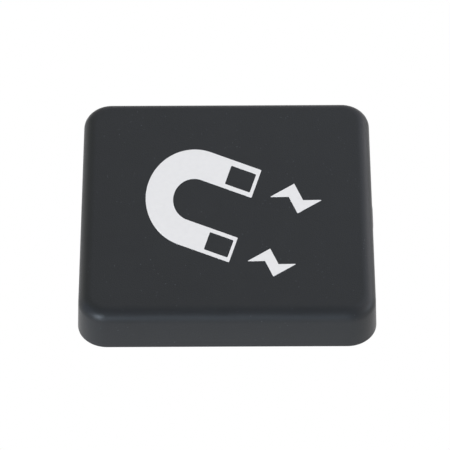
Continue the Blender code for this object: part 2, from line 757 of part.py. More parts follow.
def usb_socket_shell():
    inner_w, inner_h = SOCKET_WIDTH - 2 * SOCKET_SHEET, SOCKET_HEIGHT - 2 * SOCKET_SHEET
    outer, inner = stadium(SOCKET_WIDTH, SOCKET_HEIGHT), stadium(inner_w, inner_h)
    levels = [(outer, 0), (outer, SOCKET_LENGTH), (inner, SOCKET_LENGTH), (inner, SOCKET_SHEET)]
    return stacked("usb_socket_shell", levels)


def usb_socket_tongue():
    shrink = 2 * (SOCKET_SHEET + SEAT_GAP)
    root = stadium(SOCKET_WIDTH - shrink, SOCKET_HEIGHT - shrink)
    tongue = stadium(TONGUE_WIDTH, TONGUE_THICKNESS)
    start = SOCKET_SHEET + SEAT_GAP
    levels = [(root, start), (root, start + TONGUE_ROOT)]
    levels += [(tongue, start + TONGUE_ROOT), (tongue, SOCKET_LENGTH - TONGUE_SHY)]
    return stacked("usb_socket_tongue", levels)


def status_led():
    lens_z = LIGHT_Z - PART_Z
    body = block("status_led", LED_DEPTH, LED_WIDTH, lens_z + LENS_RADIUS + LED_CROWN, 0.1 * MM)
    lens_tip = circle(LENS_RADIUS - 0.3 * MM, 16)
    lens = stacked("lens", [(circle(LENS_RADIUS, 16), 0), (lens_tip, LED_DEPTH / 2 + LED_LENS)])
    return combined(body, ("UNION", moved(lens, z=lens_z, lying=True)))


def light_pipe():
    """Clear rod from the light to the wall's face, with a collar behind the wall."""
    start = BOARD_HALF - LED_INSET + LED_DEPTH / 2 + LED_LENS + EDGE_GAP
    collar_end = wall_face(LIGHT_Z) - WALL - EDGE_GAP
    face = wall_face(LIGHT_Z)
    rod, wide = circle(LIGHT_PIPE_RADIUS, 16), circle(LIGHT_PIPE_RADIUS + LIGHT_PIPE_COLLAR, 16)
    levels = [(rod, start), (rod, collar_end - LIGHT_PIPE_COLLAR), (wide, collar_end - LIGHT_PIPE_COLLAR)]
    levels += [(wide, collar_end), (rod, collar_end), (rod, face - 0.1 * MM)]
    levels += [(circle(LIGHT_PIPE_RADIUS - 0.25 * MM, 16), face)]
    return moved(stacked("light_pipe", levels), y=LIGHT_ALONG, z=LIGHT_Z, lying=True)


def make_board():
    place("circuit_board", circuit_board(), "board_laminate")
    seat_z = BOARD_Z - SEAT_GAP
    length = PILOT_TOP_Z - TIP_SPACE - seat_z
    board_screw = screw("board_screw", BOARD_HEAD_RADIUS, BOARD_HEAD_HEIGHT, length)
    for number, at in enumerate(corners(EAR_AT), start=1):
        place(f"board_screw_{number}", board_screw, "screw_steel", (*at, seat_z))

    can = storage_capacitor()
    for number in range(4):
        spot, turn = edge_spot("left", (number - 1.5) * CAN_PITCH)
        place(f"storage_capacitor_{number + 1}", can, "capacitor_aluminium", spot, turn)

    transistor = gull_wing_chip("bridge_transistor", 4.9 * MM, 3.9 * MM, 1.5 * MM, 4, 1.27 * MM)
    for number, along in enumerate((-18, -10.8, 10.8, 18), start=1):
        spot, turn = edge_spot("front", along * MM)
        place(f"bridge_transistor_{number}", transistor, "chip_epoxy", spot, turn)

    controller = gull_wing_chip("controller_chip", 6.5 * MM, 4.4 * MM, 1.1 * MM, 10, 0.65 * MM)
    driver = gull_wing_chip("gate_driver_chip", 4.9 * MM, 3.9 * MM, 1.5 * MM, 4, 1.27 * MM)
    single_parts = (
        (controller, "chip_epoxy", "front", 0),
        (driver, "chip_epoxy", "right", -7.6),
        (boost_inductor(), "ferrite", "back", -12.5),
        (brick("rectifier_diode", 4.4, 3.6, 2.2), "chip_epoxy", "back", -19.2),
        (brick("input_fuse", 4.6, 3.2, 1), "board_laminate", "back", 9),
        (brick("input_capacitor_1", 3.2, 1.6, 1.4), "chip_ceramic", "back", 13.5),
        (brick("input_capacitor_2", 3.2, 1.6, 1.4), "chip_ceramic", "back", 16.5),
        (brick("sense_resistor", 3.2, 6.3, 0.7), "chip_ceramic", "left", 19),
    )
    for mesh, slot, side, along in single_parts:
        spot, turn = edge_spot(side, along * MM)
        place(mesh.name, mesh, slot, spot, turn)

    header_spot = (BOARD_HALF - HEADER_INSET, HEADER_ALONG, PART_Z)
    for name, mesh in (("lead_header", lead_header()), ("lead_plug", lead_plug())):
        place(name, mesh, "connector_nylon", header_spot, -QUARTER)

    socket_start = wall_face(SOCKET_Z) - SOCKET_RECESS - SOCKET_LENGTH
    for mesh, slot in ((usb_socket_shell(), "socket_steel"), (usb_socket_tongue(), "black_moulding")):
        place(mesh.name, moved(mesh, y=socket_start, z=SOCKET_Z, quarters=1, lying=True), slot)

    spot, turn = edge_spot("right", LIGHT_ALONG, LED_INSET)
    place("status_led", status_led(), "led_epoxy", spot, turn)
    place("light_pipe", light_pipe(), "clear_acrylic")


# Push button and its switch. Both moving pieces hang on an empty on the joint's axis.


def switch_body():
    body = block("switch_body", SWITCH_DEPTH, SWITCH_WIDTH, STRAIGHT_ROOM, 0.15 * MM)
    outline = circle(SWITCH_POCKET_RADIUS)
    floor = SWITCH_DEPTH / 2 - SWITCH_POCKET_DEPTH
    pocket = stacked("pocket", [(outline, floor), (outline, SWITCH_DEPTH)])
    return combined(body, ("DIFFERENCE", moved(pocket, z=STRAIGHT_ROOM / 2, lying=True)))


def switch_dome():
    """Thin sprung cap that stands in the pocket, bulging towards the plunger."""
    steps = 4
    angles = [QUARTER * step / steps for step in range(steps + 1)]
    radius = SWITCH_POCKET_RADIUS - SEAT_GAP
    outside = [(radius * math.cos(a), DOME_RISE * math.sin(a)) for a in angles[:-1]]
    inner_radius, inner_rise = radius - DOME_SHEET, DOME_RISE - DOME_SHEET
    inside = [(inner_radius * math.cos(a), inner_rise * math.sin(a)) for a in angles[:-1]]
    crown = 0.15 * MM
    levels = [(circle(r, 16), z) for r, z in reversed(inside)]
    levels = [(circle(crown, 16), inner_rise), *levels]
    levels += [(circle(r, 16), z) for r, z in outside]
    levels.append((circle(crown, 16), DOME_RISE))
    return stacked("switch_dome", levels)


def switch_plunger(inner_end, outer_end):
    rod = circle(PLUNGER_RADIUS)
    return moved(stacked("switch_plunger", [(rod, inner_end), (rod, outer_end)]), lying=True)


def button_cap(inner_end):
    """Cap with its face in the wall, a flange behind the wall and a post to the plunger.

    Drawn along +X, with x = 0 in the wall's face.
    """
    flange_end = FLANGE_FACE_X - BUTTON_FACE_X
    flange_start = flange_end - BUTTON_FLANGE_THICKNESS
    post = stadium(2 * PLUNGER_RADIUS, 2 * PLUNGER_RADIUS, CAP_STEPS)
    flange = stadium(BUTTON_LENGTH + 2 * BUTTON_FLANGE, STRAIGHT_ROOM - 2 * EDGE_GAP, CAP_STEPS)
    stem, face, crown = (
        stadium(BUTTON_LENGTH - inset, BUTTON_HEIGHT - inset, CAP_STEPS)
        for inset in (0, 2 * BUTTON_EDGE, 6 * BUTTON_EDGE)
    )
    levels = [
        (post, inner_end),
        (post, flange_start),
        (flange, flange_start),
        (flange, flange_end),
        (stem, flange_end),
        (stem, -BUTTON_EDGE),
        (face, 0),
        (crown, BUTTON_DOME),
    ]
    return moved(stacked("button_cap", levels), lying=True)


def make_button():
    switch_x = BOARD_HALF - SWITCH_INSET - SWITCH_DEPTH / 2
    switch_front = switch_x + SWITCH_DEPTH / 2
    place("switch_body", switch_body(), "black_moulding", (switch_x, 0, PART_Z))
    pocket_floor = switch_front - SWITCH_POCKET_DEPTH
    dome = moved(switch_dome(), lying=True)
    place("switch_dome", dome, "spring_steel", (pocket_floor + SEAT_GAP, 0, BUTTON_Z))

    face_x = BUTTON_FACE_X
    axis = bpy.data.objects.new("button_axis", None)
    axis.location = (face_x, 0, BUTTON_Z)
    bpy.context.scene.collection.objects.link(axis)
    plunger_inner = pocket_floor + SEAT_GAP + DOME_RISE + SEAT_GAP - face_x
    plunger_outer = switch_front + PLUNGER_PROUD - face_x
    place("switch_plunger", switch_plunger(plunger_inner, plunger_outer), "connector_nylon", parent=axis)
    place("button_cap", button_cap(plunger_outer + SEAT_GAP), "button_plastic", parent=axis)


def main():
    for leftover in list(bpy.data.objects):
        bpy.data.objects.remove(leftover, do_unlink=True)
    make_casing()
    make_coil()
    make_board()
    make_button()


main()
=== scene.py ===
"""Looks of a watch demagnetizer pad: its finishes, its detailed pieces, and the studio that it stands in.

Metres throughout. +X is to the user's right, +Y away from the user, +Z up. The pad stands on z = 0.
"""

import json
import math

import bmesh
import bpy
from mathutils import Matrix, Vector


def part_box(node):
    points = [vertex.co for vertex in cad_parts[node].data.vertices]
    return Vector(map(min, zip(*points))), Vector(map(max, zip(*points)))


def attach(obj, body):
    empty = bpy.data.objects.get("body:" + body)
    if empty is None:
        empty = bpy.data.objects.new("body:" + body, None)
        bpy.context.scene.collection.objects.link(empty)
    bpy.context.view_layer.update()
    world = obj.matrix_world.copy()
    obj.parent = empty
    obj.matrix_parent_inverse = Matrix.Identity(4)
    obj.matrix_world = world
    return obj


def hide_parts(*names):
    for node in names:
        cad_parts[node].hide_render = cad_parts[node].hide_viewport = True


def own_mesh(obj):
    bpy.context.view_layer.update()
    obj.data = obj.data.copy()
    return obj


MM = 0.001
QUARTER = math.pi / 2
FULL = 2 * math.pi
HOUSING = "housing"
BUTTON = "button"
FOURS = (1, 2, 3, 4)

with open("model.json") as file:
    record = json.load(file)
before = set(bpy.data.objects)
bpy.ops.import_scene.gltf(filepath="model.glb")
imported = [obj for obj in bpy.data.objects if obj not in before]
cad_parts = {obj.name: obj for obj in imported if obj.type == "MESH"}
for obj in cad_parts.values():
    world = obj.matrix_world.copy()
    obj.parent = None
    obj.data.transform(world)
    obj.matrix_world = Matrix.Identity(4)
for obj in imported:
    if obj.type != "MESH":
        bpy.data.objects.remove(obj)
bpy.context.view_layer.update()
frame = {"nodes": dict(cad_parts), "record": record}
NODES = frame["nodes"]

# Gaps
EDGE_GAP = 0.3 * MM  # round the outline of what sits in a hole or a recess
SEAT_GAP = 0.2 * MM  # between faces that lie on each other
OVERRUN = 1 * MM  # how far a cutter runs past the face that it opens

# Cover
CORNER_RADIUS = 8 * MM
TOP_FILLET = 3.5 * MM
DRAFT = math.radians(2.3)
WALL = 2 * MM
RIM_LIP = 1.2 * MM
RIM_ROUND = 0.25 * MM
SLOT_ROUND = 0.2 * MM
SHOULDER = 0.6 * MM  # extra points this far along the straight sides keep corner shading off the flats
FILLET_MARGIN = 0.5 * MM  # ring on the wall just below the top rounding
TOP_MARGIN = 0.4 * MM  # ring on the top just inside it
BOSS_RADIUS = 2.5 * MM
PILOT_RADIUS = 1.15 * MM
PILOT_CAP = 0.8 * MM
INK_THICKNESS = 0.02 * MM

# Base plate, feet and screws
CASE_HEAD_HEIGHT = 1.2 * MM
BOARD_HEAD_HEIGHT = 0.8 * MM
POST_RISE = 1.2 * MM
POST_RADIUS = 3.5 * MM
PLATE_EDGE = 0.3 * MM
HEAD_SINK = 1.5 * MM
FOOT_POCKET = 0.7 * MM
SHANK_RADIUS = 0.85 * MM
THREAD_DEPTH = 0.17 * MM
THREAD_PITCH = 0.6 * MM
THREAD_RUNOUT = 0.5 * MM
RECESS_ARM = 1.1 * MM
RECESS_HALF_WIDTH = 0.28 * MM
RECESS_DEPTH = 0.6 * MM

# Button, light and socket
BUTTON_LENGTH = 9 * MM
BUTTON_HEIGHT = 3.4 * MM
BUTTON_EDGE = 0.35 * MM
FACE_CROWN = 0.12 * MM  # rise of the button's and the light's faces
FLANGE_THICKNESS = 0.8 * MM
DOME_SHEET = 0.12 * MM
LIGHT_RADIUS = 1 * MM
COLLAR = 0.7 * MM
LED_DEPTH = 1.4 * MM
LED_LENS_RADIUS = 0.9 * MM
SOCKET_SHEET = 0.3 * MM
TONGUE_WIDTH = 6.6 * MM
TONGUE_THICKNESS = 0.7 * MM
TONGUE_ROOT = 1.6 * MM
CONTACTS = 12
CONTACT_PITCH = 0.5 * MM
CONTACT_LENGTH = 3.2 * MM
CONTACT_HALF_WIDTH = 0.12 * MM
CONTACT_FROM_TIP = 0.5 * MM

# Coil
FLANGE = 0.7 * MM
HUB_WALL = 1 * MM
POLE_RADIUS = 7.6 * MM
CORE_DISC = 0.8 * MM
EAR_RADIUS = 2.6 * MM
EAR_WEB = 2 * MM
COIL_TURNS = 19
COIL_LEVELS = 4

# Board
SMALL_CHIP = (4.9 * MM, 3.9 * MM, 1.5 * MM)  # length, width and height
LONG_CHIP = (6.5 * MM, 4.4 * MM, 1.1 * MM)
PARTING_LINE = 0.55  # its level, as a share of a chip's height
SPOT_INSET = 0.8 * MM
SPOT_RADIUS = 0.3 * MM
CAN_RADIUS = 3.15 * MM
CAN_BASE_HALF = 3.3 * MM
COPPER_THICKNESS = 0.035 * MM
LAND_THICKNESS = 0.03 * MM

CORNER_STEPS = 20
FILLET_STEPS = 14

# Camera
LENS = 281.97  # millimetres, on a sensor 36 wide
CAMERA_AT = Vector((1.516 * MM, -648.05 * MM, 717.72 * MM))
CAMERA_AIM = Vector((-0.53 * MM, 3.99 * MM, 0.8 * MM))
CAMERA_ROLL = math.radians(-0.38)


def span(node):
    """Lowest corner, highest corner and middle of a node."""
    low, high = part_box(node)
    return low, high, (low + high) / 2


def numbered(name):
    """The four nodes of a repeated part."""
    return [f"{name}_{i}" for i in FOURS]


COVER_LOW, COVER_HIGH, _ = span("top_cover")
HALF = COVER_HIGH.x
RIM_Z = COVER_LOW.z
TOP_Z = COVER_HIGH.z
CEILING_Z = TOP_Z - WALL
PLATE_LOW, PLATE_HIGH, _ = span("base_plate")
PLATE_TOP_Z = PLATE_HIGH.z - POST_RISE
BOARD_LOW, BOARD_HIGH, _ = span("circuit_board")
PART_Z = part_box("coil_bobbin")[0].z
POST_AT = span("case_screw_1")[2].x
EAR_AT = span("board_screw_1")[2].x
WINDING_LOW, WINDING_HIGH, _ = span("coil_winding")
PILOT_TOP_Z = CEILING_Z - PILOT_CAP


# Node graphs, for finishes, repeated shapes and the sky


class Signal:
    """What one socket gives, for use in Python expressions. Each operator adds its Math node."""

    def __init__(self, graph, socket):
        self.graph = graph
        self.socket = socket

    def math(self, operation, first, second=None):
        inputs = [first] if second is None else [first, second]
        return self.graph.add("ShaderNodeMath", {"operation": operation}, inputs)

    def __add__(self, other):
        return self.math("ADD", self, other)

    def __sub__(self, other):
        return self.math("SUBTRACT", self, other)

    def __rsub__(self, other):
        return self.math("SUBTRACT", other, self)

    def __mul__(self, other):
        return self.math("MULTIPLY", self, other)

    def __truediv__(self, other):
        return self.math("DIVIDE", self, other)

    def __rtruediv__(self, other):
        return self.math("DIVIDE", other, self)

    def __pow__(self, other):
        return self.math("POWER", self, other)

    def __abs__(self):
        return self.math("ABSOLUTE", self)

    __radd__ = __add__
    __rmul__ = __mul__

    def or_more(self, least):
        return self.math("MAXIMUM", self, least)

    def clamped(self):
        return self.graph.add("ShaderNodeClamp", {}, [self])

    def between(self, low, high, to_low=0.0, to_high=1.0):
        """This signal, taken from low..high to to_low..to_high and held there."""
        inputs = [self, low, high, to_low, to_high]
        return self.graph.add("ShaderNodeMapRange", {"clamp": True}, inputs)


class Graph:
    """A node tree, and the one way in which nodes are added to it."""

    def __init__(self, tree):
        self.tree = tree

    def add(self, kind, settings=None, inputs=(), output=0):
        """A node of this kind, with its settings made first and then its sockets' values or links."""
        node = self.tree.nodes.new(kind)
        for name, value in (settings or {}).items():
            setattr(node, name, value)
        pairs = inputs.items() if isinstance(inputs, dict) else enumerate(inputs)
        for key, value in pairs:
            self.feed(node.inputs[key], value)
        return Signal(self, node.outputs[output])

    def feed(self, socket, value):
        if isinstance(value, Signal):
            self.tree.links.new(value.socket, socket)
        elif socket.type == "RGBA":
            socket.default_value = (*value, 1)
        else:
            socket.default_value = value


class Finish(Graph):
    """One material's nodes, round its Principled shader."""

    def __init__(self, name, colour, roughness, metallic=0.0, **fixed):
        self.material = bpy.data.materials.new(name)
        self.material.use_nodes = True
        self.material.diffuse_color = (*colour, 1)
        super().__init__(self.material.node_tree)
        self.shader = self.tree.nodes["Principled BSDF"]
        self.take("Base Color", colour)
        self.take("Roughness", roughness)
        self.take("Metallic", metallic)
        for name_of_socket, value in fixed.items():
            self.take(name_of_socket.replace("_", " "), value)

    def take(self, socket_name, value):
        """What the shader's own socket holds or is fed."""
        self.feed(self.shader.inputs[socket_name], value)

    def place(self):
        return self.add("ShaderNodeTexCoord", output="Object")

    def axis(self, letter):
        return self.add("ShaderNodeSeparateXYZ", {}, [self.place()], output="XYZ".index(letter))

    def noise(self, size, detail=2.0, roughness=0.5, stretch=None):
        """Noise with features about this many metres across."""
        place = self.place()
        if stretch:
            place = self.add("ShaderNodeVectorMath", {"operation": "MULTIPLY"}, [place, stretch])
        inputs = {"Vector": place, "Scale": 1 / size, "Detail": detail, "Roughness": roughness}
        return self.add("ShaderNodeTexNoise", {}, inputs)

    def cells(self, size):
        """How far each point is from the middle of its cell, in cells about this many metres across."""
        return self.add("ShaderNodeTexVoronoi", {}, {"Vector": self.place(), "Scale": 1 / size}, "Distance")

    def blended(self, factor, first, second):
        """Colour between two colours."""
        inputs = {0: factor, 6: first, 7: second}
        return self.add("ShaderNodeMix", {"data_type": "RGBA"}, inputs, 2)

    def raised_by(self, height, depth):
        """Bump: height 0..1 stands for this many metres."""
        self.take("Normal", self.add("ShaderNodeBump", {}, {"Distance": depth, "Height": height}))


class Recipe(Graph):
    """A Geometry Nodes tree with named inputs, which gives a plain mesh in one finish."""

    def __init__(self, name, **kinds):
        super().__init__(bpy.data.node_groups.new(name, "GeometryNodeTree"))
        sockets = self.tree.interface
        sockets.new_socket("Geometry", in_out="INPUT", socket_type="NodeSocketGeometry")
        for label, kind in {**kinds, "Finish": "Material"}.items():
            sockets.new_socket(label, in_out="INPUT", socket_type="NodeSocket" + kind)
        sockets.new_socket("Geometry", in_out="OUTPUT", socket_type="NodeSocketGeometry")
        self.inputs = self.tree.nodes.new("NodeGroupInput")

    def given(self, label):
        return Signal(self, self.inputs.outputs[label])

    def turned_instances(self, points, shape, angle):
        """The shape at each point, turned about Z."""
        euler = self.add("ShaderNodeCombineXYZ", {}, {"Z": angle})
        turn = self.add("FunctionNodeEulerToRotation", {}, [euler])
        inputs = {"Points": points, "Instance": shape, "Rotation": turn}
        return self.add("GeometryNodeInstanceOnPoints", {}, inputs)

    def ends_in(self, shape):
        real = self.add("GeometryNodeRealizeInstances", {}, [shape])
        inputs = {"Geometry": real, "Material": self.given("Finish")}
        finished = self.add("GeometryNodeSetMaterial", {}, inputs)
        result = self.tree.nodes.new("NodeGroupOutput")
        self.feed(result.inputs["Geometry"], finished)

    def made(self, name, start, **values):
        """The mesh that the tree makes from a starting mesh and these input values."""
        thing = temporary(start)
        modifier = thing.modifiers.new(self.tree.name, "NODES")
        modifier.node_group = self.tree
        for item in self.tree.interface.items_tree:
            if item.in_out == "INPUT" and item.name in values:
                modifier[item.identifier] = values[item.name]
        return as_mesh(thing, name)


# Finishes

SLATE = (0.0203, 0.0204, 0.0205)
SLATE_PALE = (0.0226, 0.0227, 0.0228)
SLATE_GLOSS = 0.152
DUST = (0.22, 0.23, 0.25)
TAPE_LAYER = 0.4 * MM
WEAVE = 0.25 * MM
MASK_DEPTH = 0.07 * MM


def moulded_plastic(name, colour, pale, roughness, grain=0.16 * MM, depth=0.006 * MM, specks=0.0, **fixed):
    """Moulded plastic with the fine even grain of a spark-eroded tool, and a few specks of dust."""
    cloud_size, worn_size, patch_size, speck_cell = 9 * MM, 14 * MM, 5 * MM, 1.1 * MM
    finish = Finish(name, colour, roughness, **fixed)
    fine = finish.noise(grain, detail=3, roughness=0.6)
    coarse = finish.noise(cloud_size, detail=4, roughness=0.55)
    shade = (coarse.between(0.35, 0.7, 0, 0.55) + fine.between(0.45, 0.75, 0, 0.45)).clamped()
    base = finish.blended(shade, colour, pale)
    if specks:
        dust = finish.cells(speck_cell)
        patch = finish.noise(patch_size).between(0.5, 0.62)
        speck = dust.between(0.05, 0.09, specks, 0) * patch
        base = finish.blended(speck, base, DUST)
    finish.take("Base Color", base)
    worn = finish.noise(worn_size, detail=5, roughness=0.6).between(0.3, 0.7, -0.03, 0.035)
    finish.take("Roughness", (fine * 0.1 + worn + (roughness - 0.05)).clamped())
    finish.raised_by(fine, depth)
    return finish.material


def brushed_metal(name, colour, dark, roughness, stretch=(1, 1, 12), grain=0.35 * MM):
    finish = Finish(name, colour, roughness, metallic=1.0)
    lines = finish.noise(grain, detail=3, stretch=stretch)
    stain = finish.noise(2.5 * MM, detail=4)
    shade = stain.between(0.4, 0.75) * 0.6 + lines.between(0.5, 0.8) * 0.4
    finish.take("Base Color", finish.blended(shade.clamped(), colour, dark))
    finish.take("Roughness", (lines * 0.2 + stain * 0.12 + (roughness - 0.14)).clamped())
    finish.raised_by(lines, 0.003 * MM)
    return finish.material


def glossy_resin(name, colour, other, roughness, size=1.2 * MM, depth=0.01 * MM, **fixed):
    """Smooth resin, tape or insulation with slow waves in its surface and tone."""
    finish = Finish(name, colour, roughness, **fixed)
    waves = finish.noise(size, detail=2)
    clouds = finish.noise(4 * size, detail=3)
    finish.take("Base Color", finish.blended(clouds.between(0.35, 0.7), colour, other))
    finish.take("Roughness", (clouds * 0.15 + (roughness - 0.07)).clamped())
    finish.raised_by(waves, depth)
    return finish.material


def wound_tape(name, colour, other, roughness):
    """Thin tape whose edges show as fine lines round the coil."""
    finish = Finish(name, colour, roughness)
    layer = finish.add("ShaderNodeMath", {"operation": "PINGPONG"}, [finish.axis("Z"), TAPE_LAYER])
    edge = layer.between(0.0, 0.05 * MM)
    clouds = finish.noise(5 * MM, detail=4)
    tone = finish.blended(clouds.between(0.35, 0.7), colour, other)
    finish.take("Base Color", finish.blended(edge, tuple(0.55 * c for c in colour), tone))
    finish.take("Roughness", (clouds * 0.2 + (roughness - 0.1)).clamped())
    finish.raised_by(edge * 0.7 + finish.noise(1.5 * MM) * 0.3, 0.02 * MM)
    return finish.material


def ceramic(name, colour, other, roughness, grain=0.22 * MM):
    """Sintered, slightly pitted surface."""
    finish = Finish(name, colour, roughness)
    pits = finish.cells(grain)
    clouds = finish.noise(2 * MM, detail=4)
    finish.take("Base Color", finish.blended(clouds.between(0.35, 0.7), colour, other))
    finish.take("Roughness", (pits * 0.3 + (roughness - 0.1)).clamped())
    finish.raised_by(pits.between(0.0, 0.35), 0.012 * MM)
    return finish.material


def rubber(name, colour, pale):
    finish = Finish(name, colour, 0.8)
    grain = finish.noise(0.25 * MM, detail=3)
    dust = finish.noise(2.2 * MM, detail=5, roughness=0.7)
    finish.take("Base Color", finish.blended(dust.between(0.5, 0.78, 0, 0.8), colour, pale))
    finish.take("Roughness", (dust * 0.15 + 0.72).clamped())
    finish.raised_by(grain, 0.015 * MM)
    return finish.material


def printed_ink(name):
    """Pad-printed white ink, a little uneven, with a few pinholes."""
    white, pinhole = (0.750, 0.705, 0.656), (0.3, 0.3, 0.31)
    finish = Finish(name, white, 0.55)
    body = finish.noise(1.5 * MM, detail=3)
    pinholes = finish.cells(0.8 * MM).between(0.03, 0.05, 0.35, 0) * finish.noise(4 * MM).between(0.5, 0.6)
    tone = finish.blended(body.between(0.35, 0.7), white, tuple(0.975 * c for c in white))
    finish.take("Base Color", finish.blended(pinholes, tone, pinhole))
    finish.take("Roughness", body * 0.1 + 0.5)
    finish.raised_by(finish.noise(0.12 * MM, detail=2), 0.004 * MM)
    return finish.material


def solder_mask(name):
    """Green mask over woven laminate, with the pale core showing on the board's edges."""
    green, deep = (0.012, 0.115, 0.045), (0.007, 0.08, 0.03)
    core, core_shade = (0.46, 0.42, 0.25), (0.36, 0.33, 0.19)
    finish = Finish(name, green, 0.3)
    weave = []
    for letter in "XY":
        thread = finish.add("ShaderNodeMath", {"operation": "PINGPONG"}, [finish.axis(letter), WEAVE])
        weave.append(thread / WEAVE)
    cloth = weave[0] * 0.5 + weave[1] * 0.5
    from_middle = abs(finish.axis("Z") - (BOARD_LOW.z + BOARD_HIGH.z) / 2)
    half = (BOARD_HIGH.z - BOARD_LOW.z) / 2
    masked = from_middle.between(half - MASK_DEPTH, half - 0.8 * MASK_DEPTH)
    clouds = finish.noise(6 * MM, detail=3)
    mask_tone = finish.blended((clouds * 0.6 + cloth * 0.3).clamped(), green, deep)
    core_tone = finish.blended(finish.noise(0.3 * MM, stretch=(1, 1, 4)), core, core_shade)
    finish.take("Base Color", finish.blended(masked, core_tone, mask_tone))
    finish.take("Roughness", (0.75 - masked * 0.45 + clouds * 0.08).clamped())
    finish.raised_by(cloth, 0.008 * MM)
    return finish.material


FINISHES = {
    "case_plastic": moulded_plastic(
        "slate_plastic", SLATE, SLATE_PALE, 0.37, 0.35 * MM, 0.045 * MM, 0.6, Specular_IOR_Level=SLATE_GLOSS
    ),
    "base_plastic": moulded_plastic(
        "base_plastic", (0.022, 0.023, 0.025), (0.034, 0.035, 0.038), 0.6, 0.3 * MM, 0.012 * MM
    ),
    "foot_rubber": rubber("foot_rubber", (0.018, 0.018, 0.019), (0.05, 0.05, 0.05)),
    "screw_steel": brushed_metal("screw_steel", (0.45, 0.45, 0.46), (0.28, 0.28, 0.30), 0.34),
    "bobbin_nylon": moulded_plastic("bobbin_nylon", (0.03, 0.03, 0.031), (0.05, 0.05, 0.052), 0.5),
    "copper_wire": brushed_metal("enamelled_copper", (0.72, 0.27, 0.10), (0.50, 0.15, 0.05), 0.28),
    "coil_tape": wound_tape("amber_tape", (0.62, 0.30, 0.03), (0.50, 0.20, 0.02), 0.25),
    "ferrite": ceramic("ferrite", (0.045, 0.045, 0.05), (0.075, 0.075, 0.08), 0.5),
    "board_laminate": solder_mask("solder_mask"),
    "socket_steel": brushed_metal("socket_steel", (0.62, 0.62, 0.63), (0.45, 0.45, 0.47), 0.25),
    "black_moulding": moulded_plastic(
        "black_moulding", (0.012, 0.012, 0.013), (0.03, 0.03, 0.031), 0.45, 0.2 * MM
    ),
    "capacitor_aluminium": brushed_metal(
        "capacitor_aluminium", (0.78, 0.78, 0.80), (0.6, 0.6, 0.63), 0.3
    ),
    "chip_epoxy": moulded_plastic(
        "chip_epoxy", (0.02, 0.02, 0.021), (0.035, 0.035, 0.036), 0.5, 0.1 * MM
    ),
    "chip_ceramic": ceramic("chip_ceramic", (0.42, 0.30, 0.19), (0.50, 0.38, 0.26), 0.5),
    "connector_nylon": moulded_plastic(
        "connector_nylon", (0.74, 0.71, 0.63), (0.82, 0.80, 0.74), 0.4
    ),
    "clear_acrylic": glossy_resin(
        "clear_acrylic", (0.80, 0.84, 0.86), (0.70, 0.75, 0.78), 0.1, Transmission_Weight=0.6
    ),
    "led_epoxy": glossy_resin("led_epoxy", (0.62, 0.74, 0.64), (0.55, 0.68, 0.58), 0.25),
    "button_plastic": moulded_plastic(
        "button_plastic", SLATE, SLATE_PALE, 0.36, Specular_IOR_Level=SLATE_GLOSS
    ),
    "spring_steel": brushed_metal("spring_steel", (0.66, 0.65, 0.62), (0.5, 0.49, 0.46), 0.22),
    "red_insulation": glossy_resin("red_insulation", (0.42, 0.015, 0.012), (0.33, 0.01, 0.01), 0.4),
    "black_insulation": glossy_resin(
        "black_insulation", (0.018, 0.018, 0.019), (0.03, 0.03, 0.031), 0.4
    ),
}
INK = printed_ink("white_ink")
BLACK_INK = glossy_resin("black_ink", (0.012, 0.012, 0.014), (0.02, 0.02, 0.022), 0.45)
GOLD = brushed_metal("gold_plate", (0.88, 0.62, 0.26), (0.70, 0.46, 0.18), 0.24)
SOLDER = brushed_metal("solder", (0.70, 0.70, 0.71), (0.52, 0.52, 0.54), 0.3, stretch=(1, 1, 1))
TRACE = glossy_resin("masked_copper", (0.02, 0.19, 0.075), (0.015, 0.15, 0.055), 0.3, 3 * MM)


# Shapes


def rounded_rectangle(half_x, half_y, radius, steps=CORNER_STEPS, shoulder=0.0):
    """Anticlockwise outline. A shoulder puts a point on each straight side, that far from its ends."""
    points = []
    for corner, (side_x, side_y) in enumerate(((1, 1), (-1, 1), (-1, -1), (1, -1))):
        start = Vector((side_x * (half_x - radius), side_y * (half_y - radius)))
        arc = []
        for step in range(steps + 1):
            angle = QUARTER * (corner + step / steps)
            arc.append(start + radius * Vector((math.cos(angle), math.sin(angle))))
        if shoulder:
            before, after = QUARTER * (corner - 1), QUARTER * (corner + 2)
            arc.insert(0, arc[0] + shoulder * Vector((math.cos(before), math.sin(before))))
            arc.append(arc[-1] + shoulder * Vector((math.cos(after), math.sin(after))))
        points.extend(arc)
    return [(p.x, p.y) for p in points]


def stadium(length, height, steps=10):
    """Slot outline; its ends stay a hair short of half round, so that no two points meet."""
    return rounded_rectangle(length / 2, height / 2, 0.499 * height, steps)


def at_bearing(radius, angle):
    return (radius * math.cos(angle), radius * math.sin(angle))


def circle(radius, steps=48):
    return [at_bearing(radius, FULL * i / steps) for i in range(steps)]


def raised(outline, z, at=(0, 0)):
    return [(x + at[0], y + at[1], z) for x, y in outline]


def skin(bm, rings, closed=False):
    """Skin over rings of points, with its ends capped, or joined to each other if closed."""
    rows = [[bm.verts.new(point) for point in ring] for ring in rings]
    pairs = list(zip(rows, rows[1:]))
    if closed:
        pairs.append((rows[-1], rows[0]))
    else:
        bm.faces.new(rows[0])
        bm.faces.new(rows[-1])
    count = len(rows[0])
    for low, high in pairs:
        for i in range(count):
            j = (i + 1) % count
            bm.faces.new((low[i], low[j], high[j], high[i]))


def mesh_of(name, bm):
    """The built faces as a mesh, all pointing outwards."""
    bmesh.ops.recalc_face_normals(bm, faces=bm.faces)
    if bm.calc_volume(signed=True) < 0:
        bmesh.ops.reverse_faces(bm, faces=bm.faces)
    mesh = bpy.data.meshes.new(name)
    bm.to_mesh(mesh)
    bm.free()
    return mesh


def loft(name, rings, closed=False):
    bm = bmesh.new()
    skin(bm, rings, closed)
    return mesh_of(name, bm)


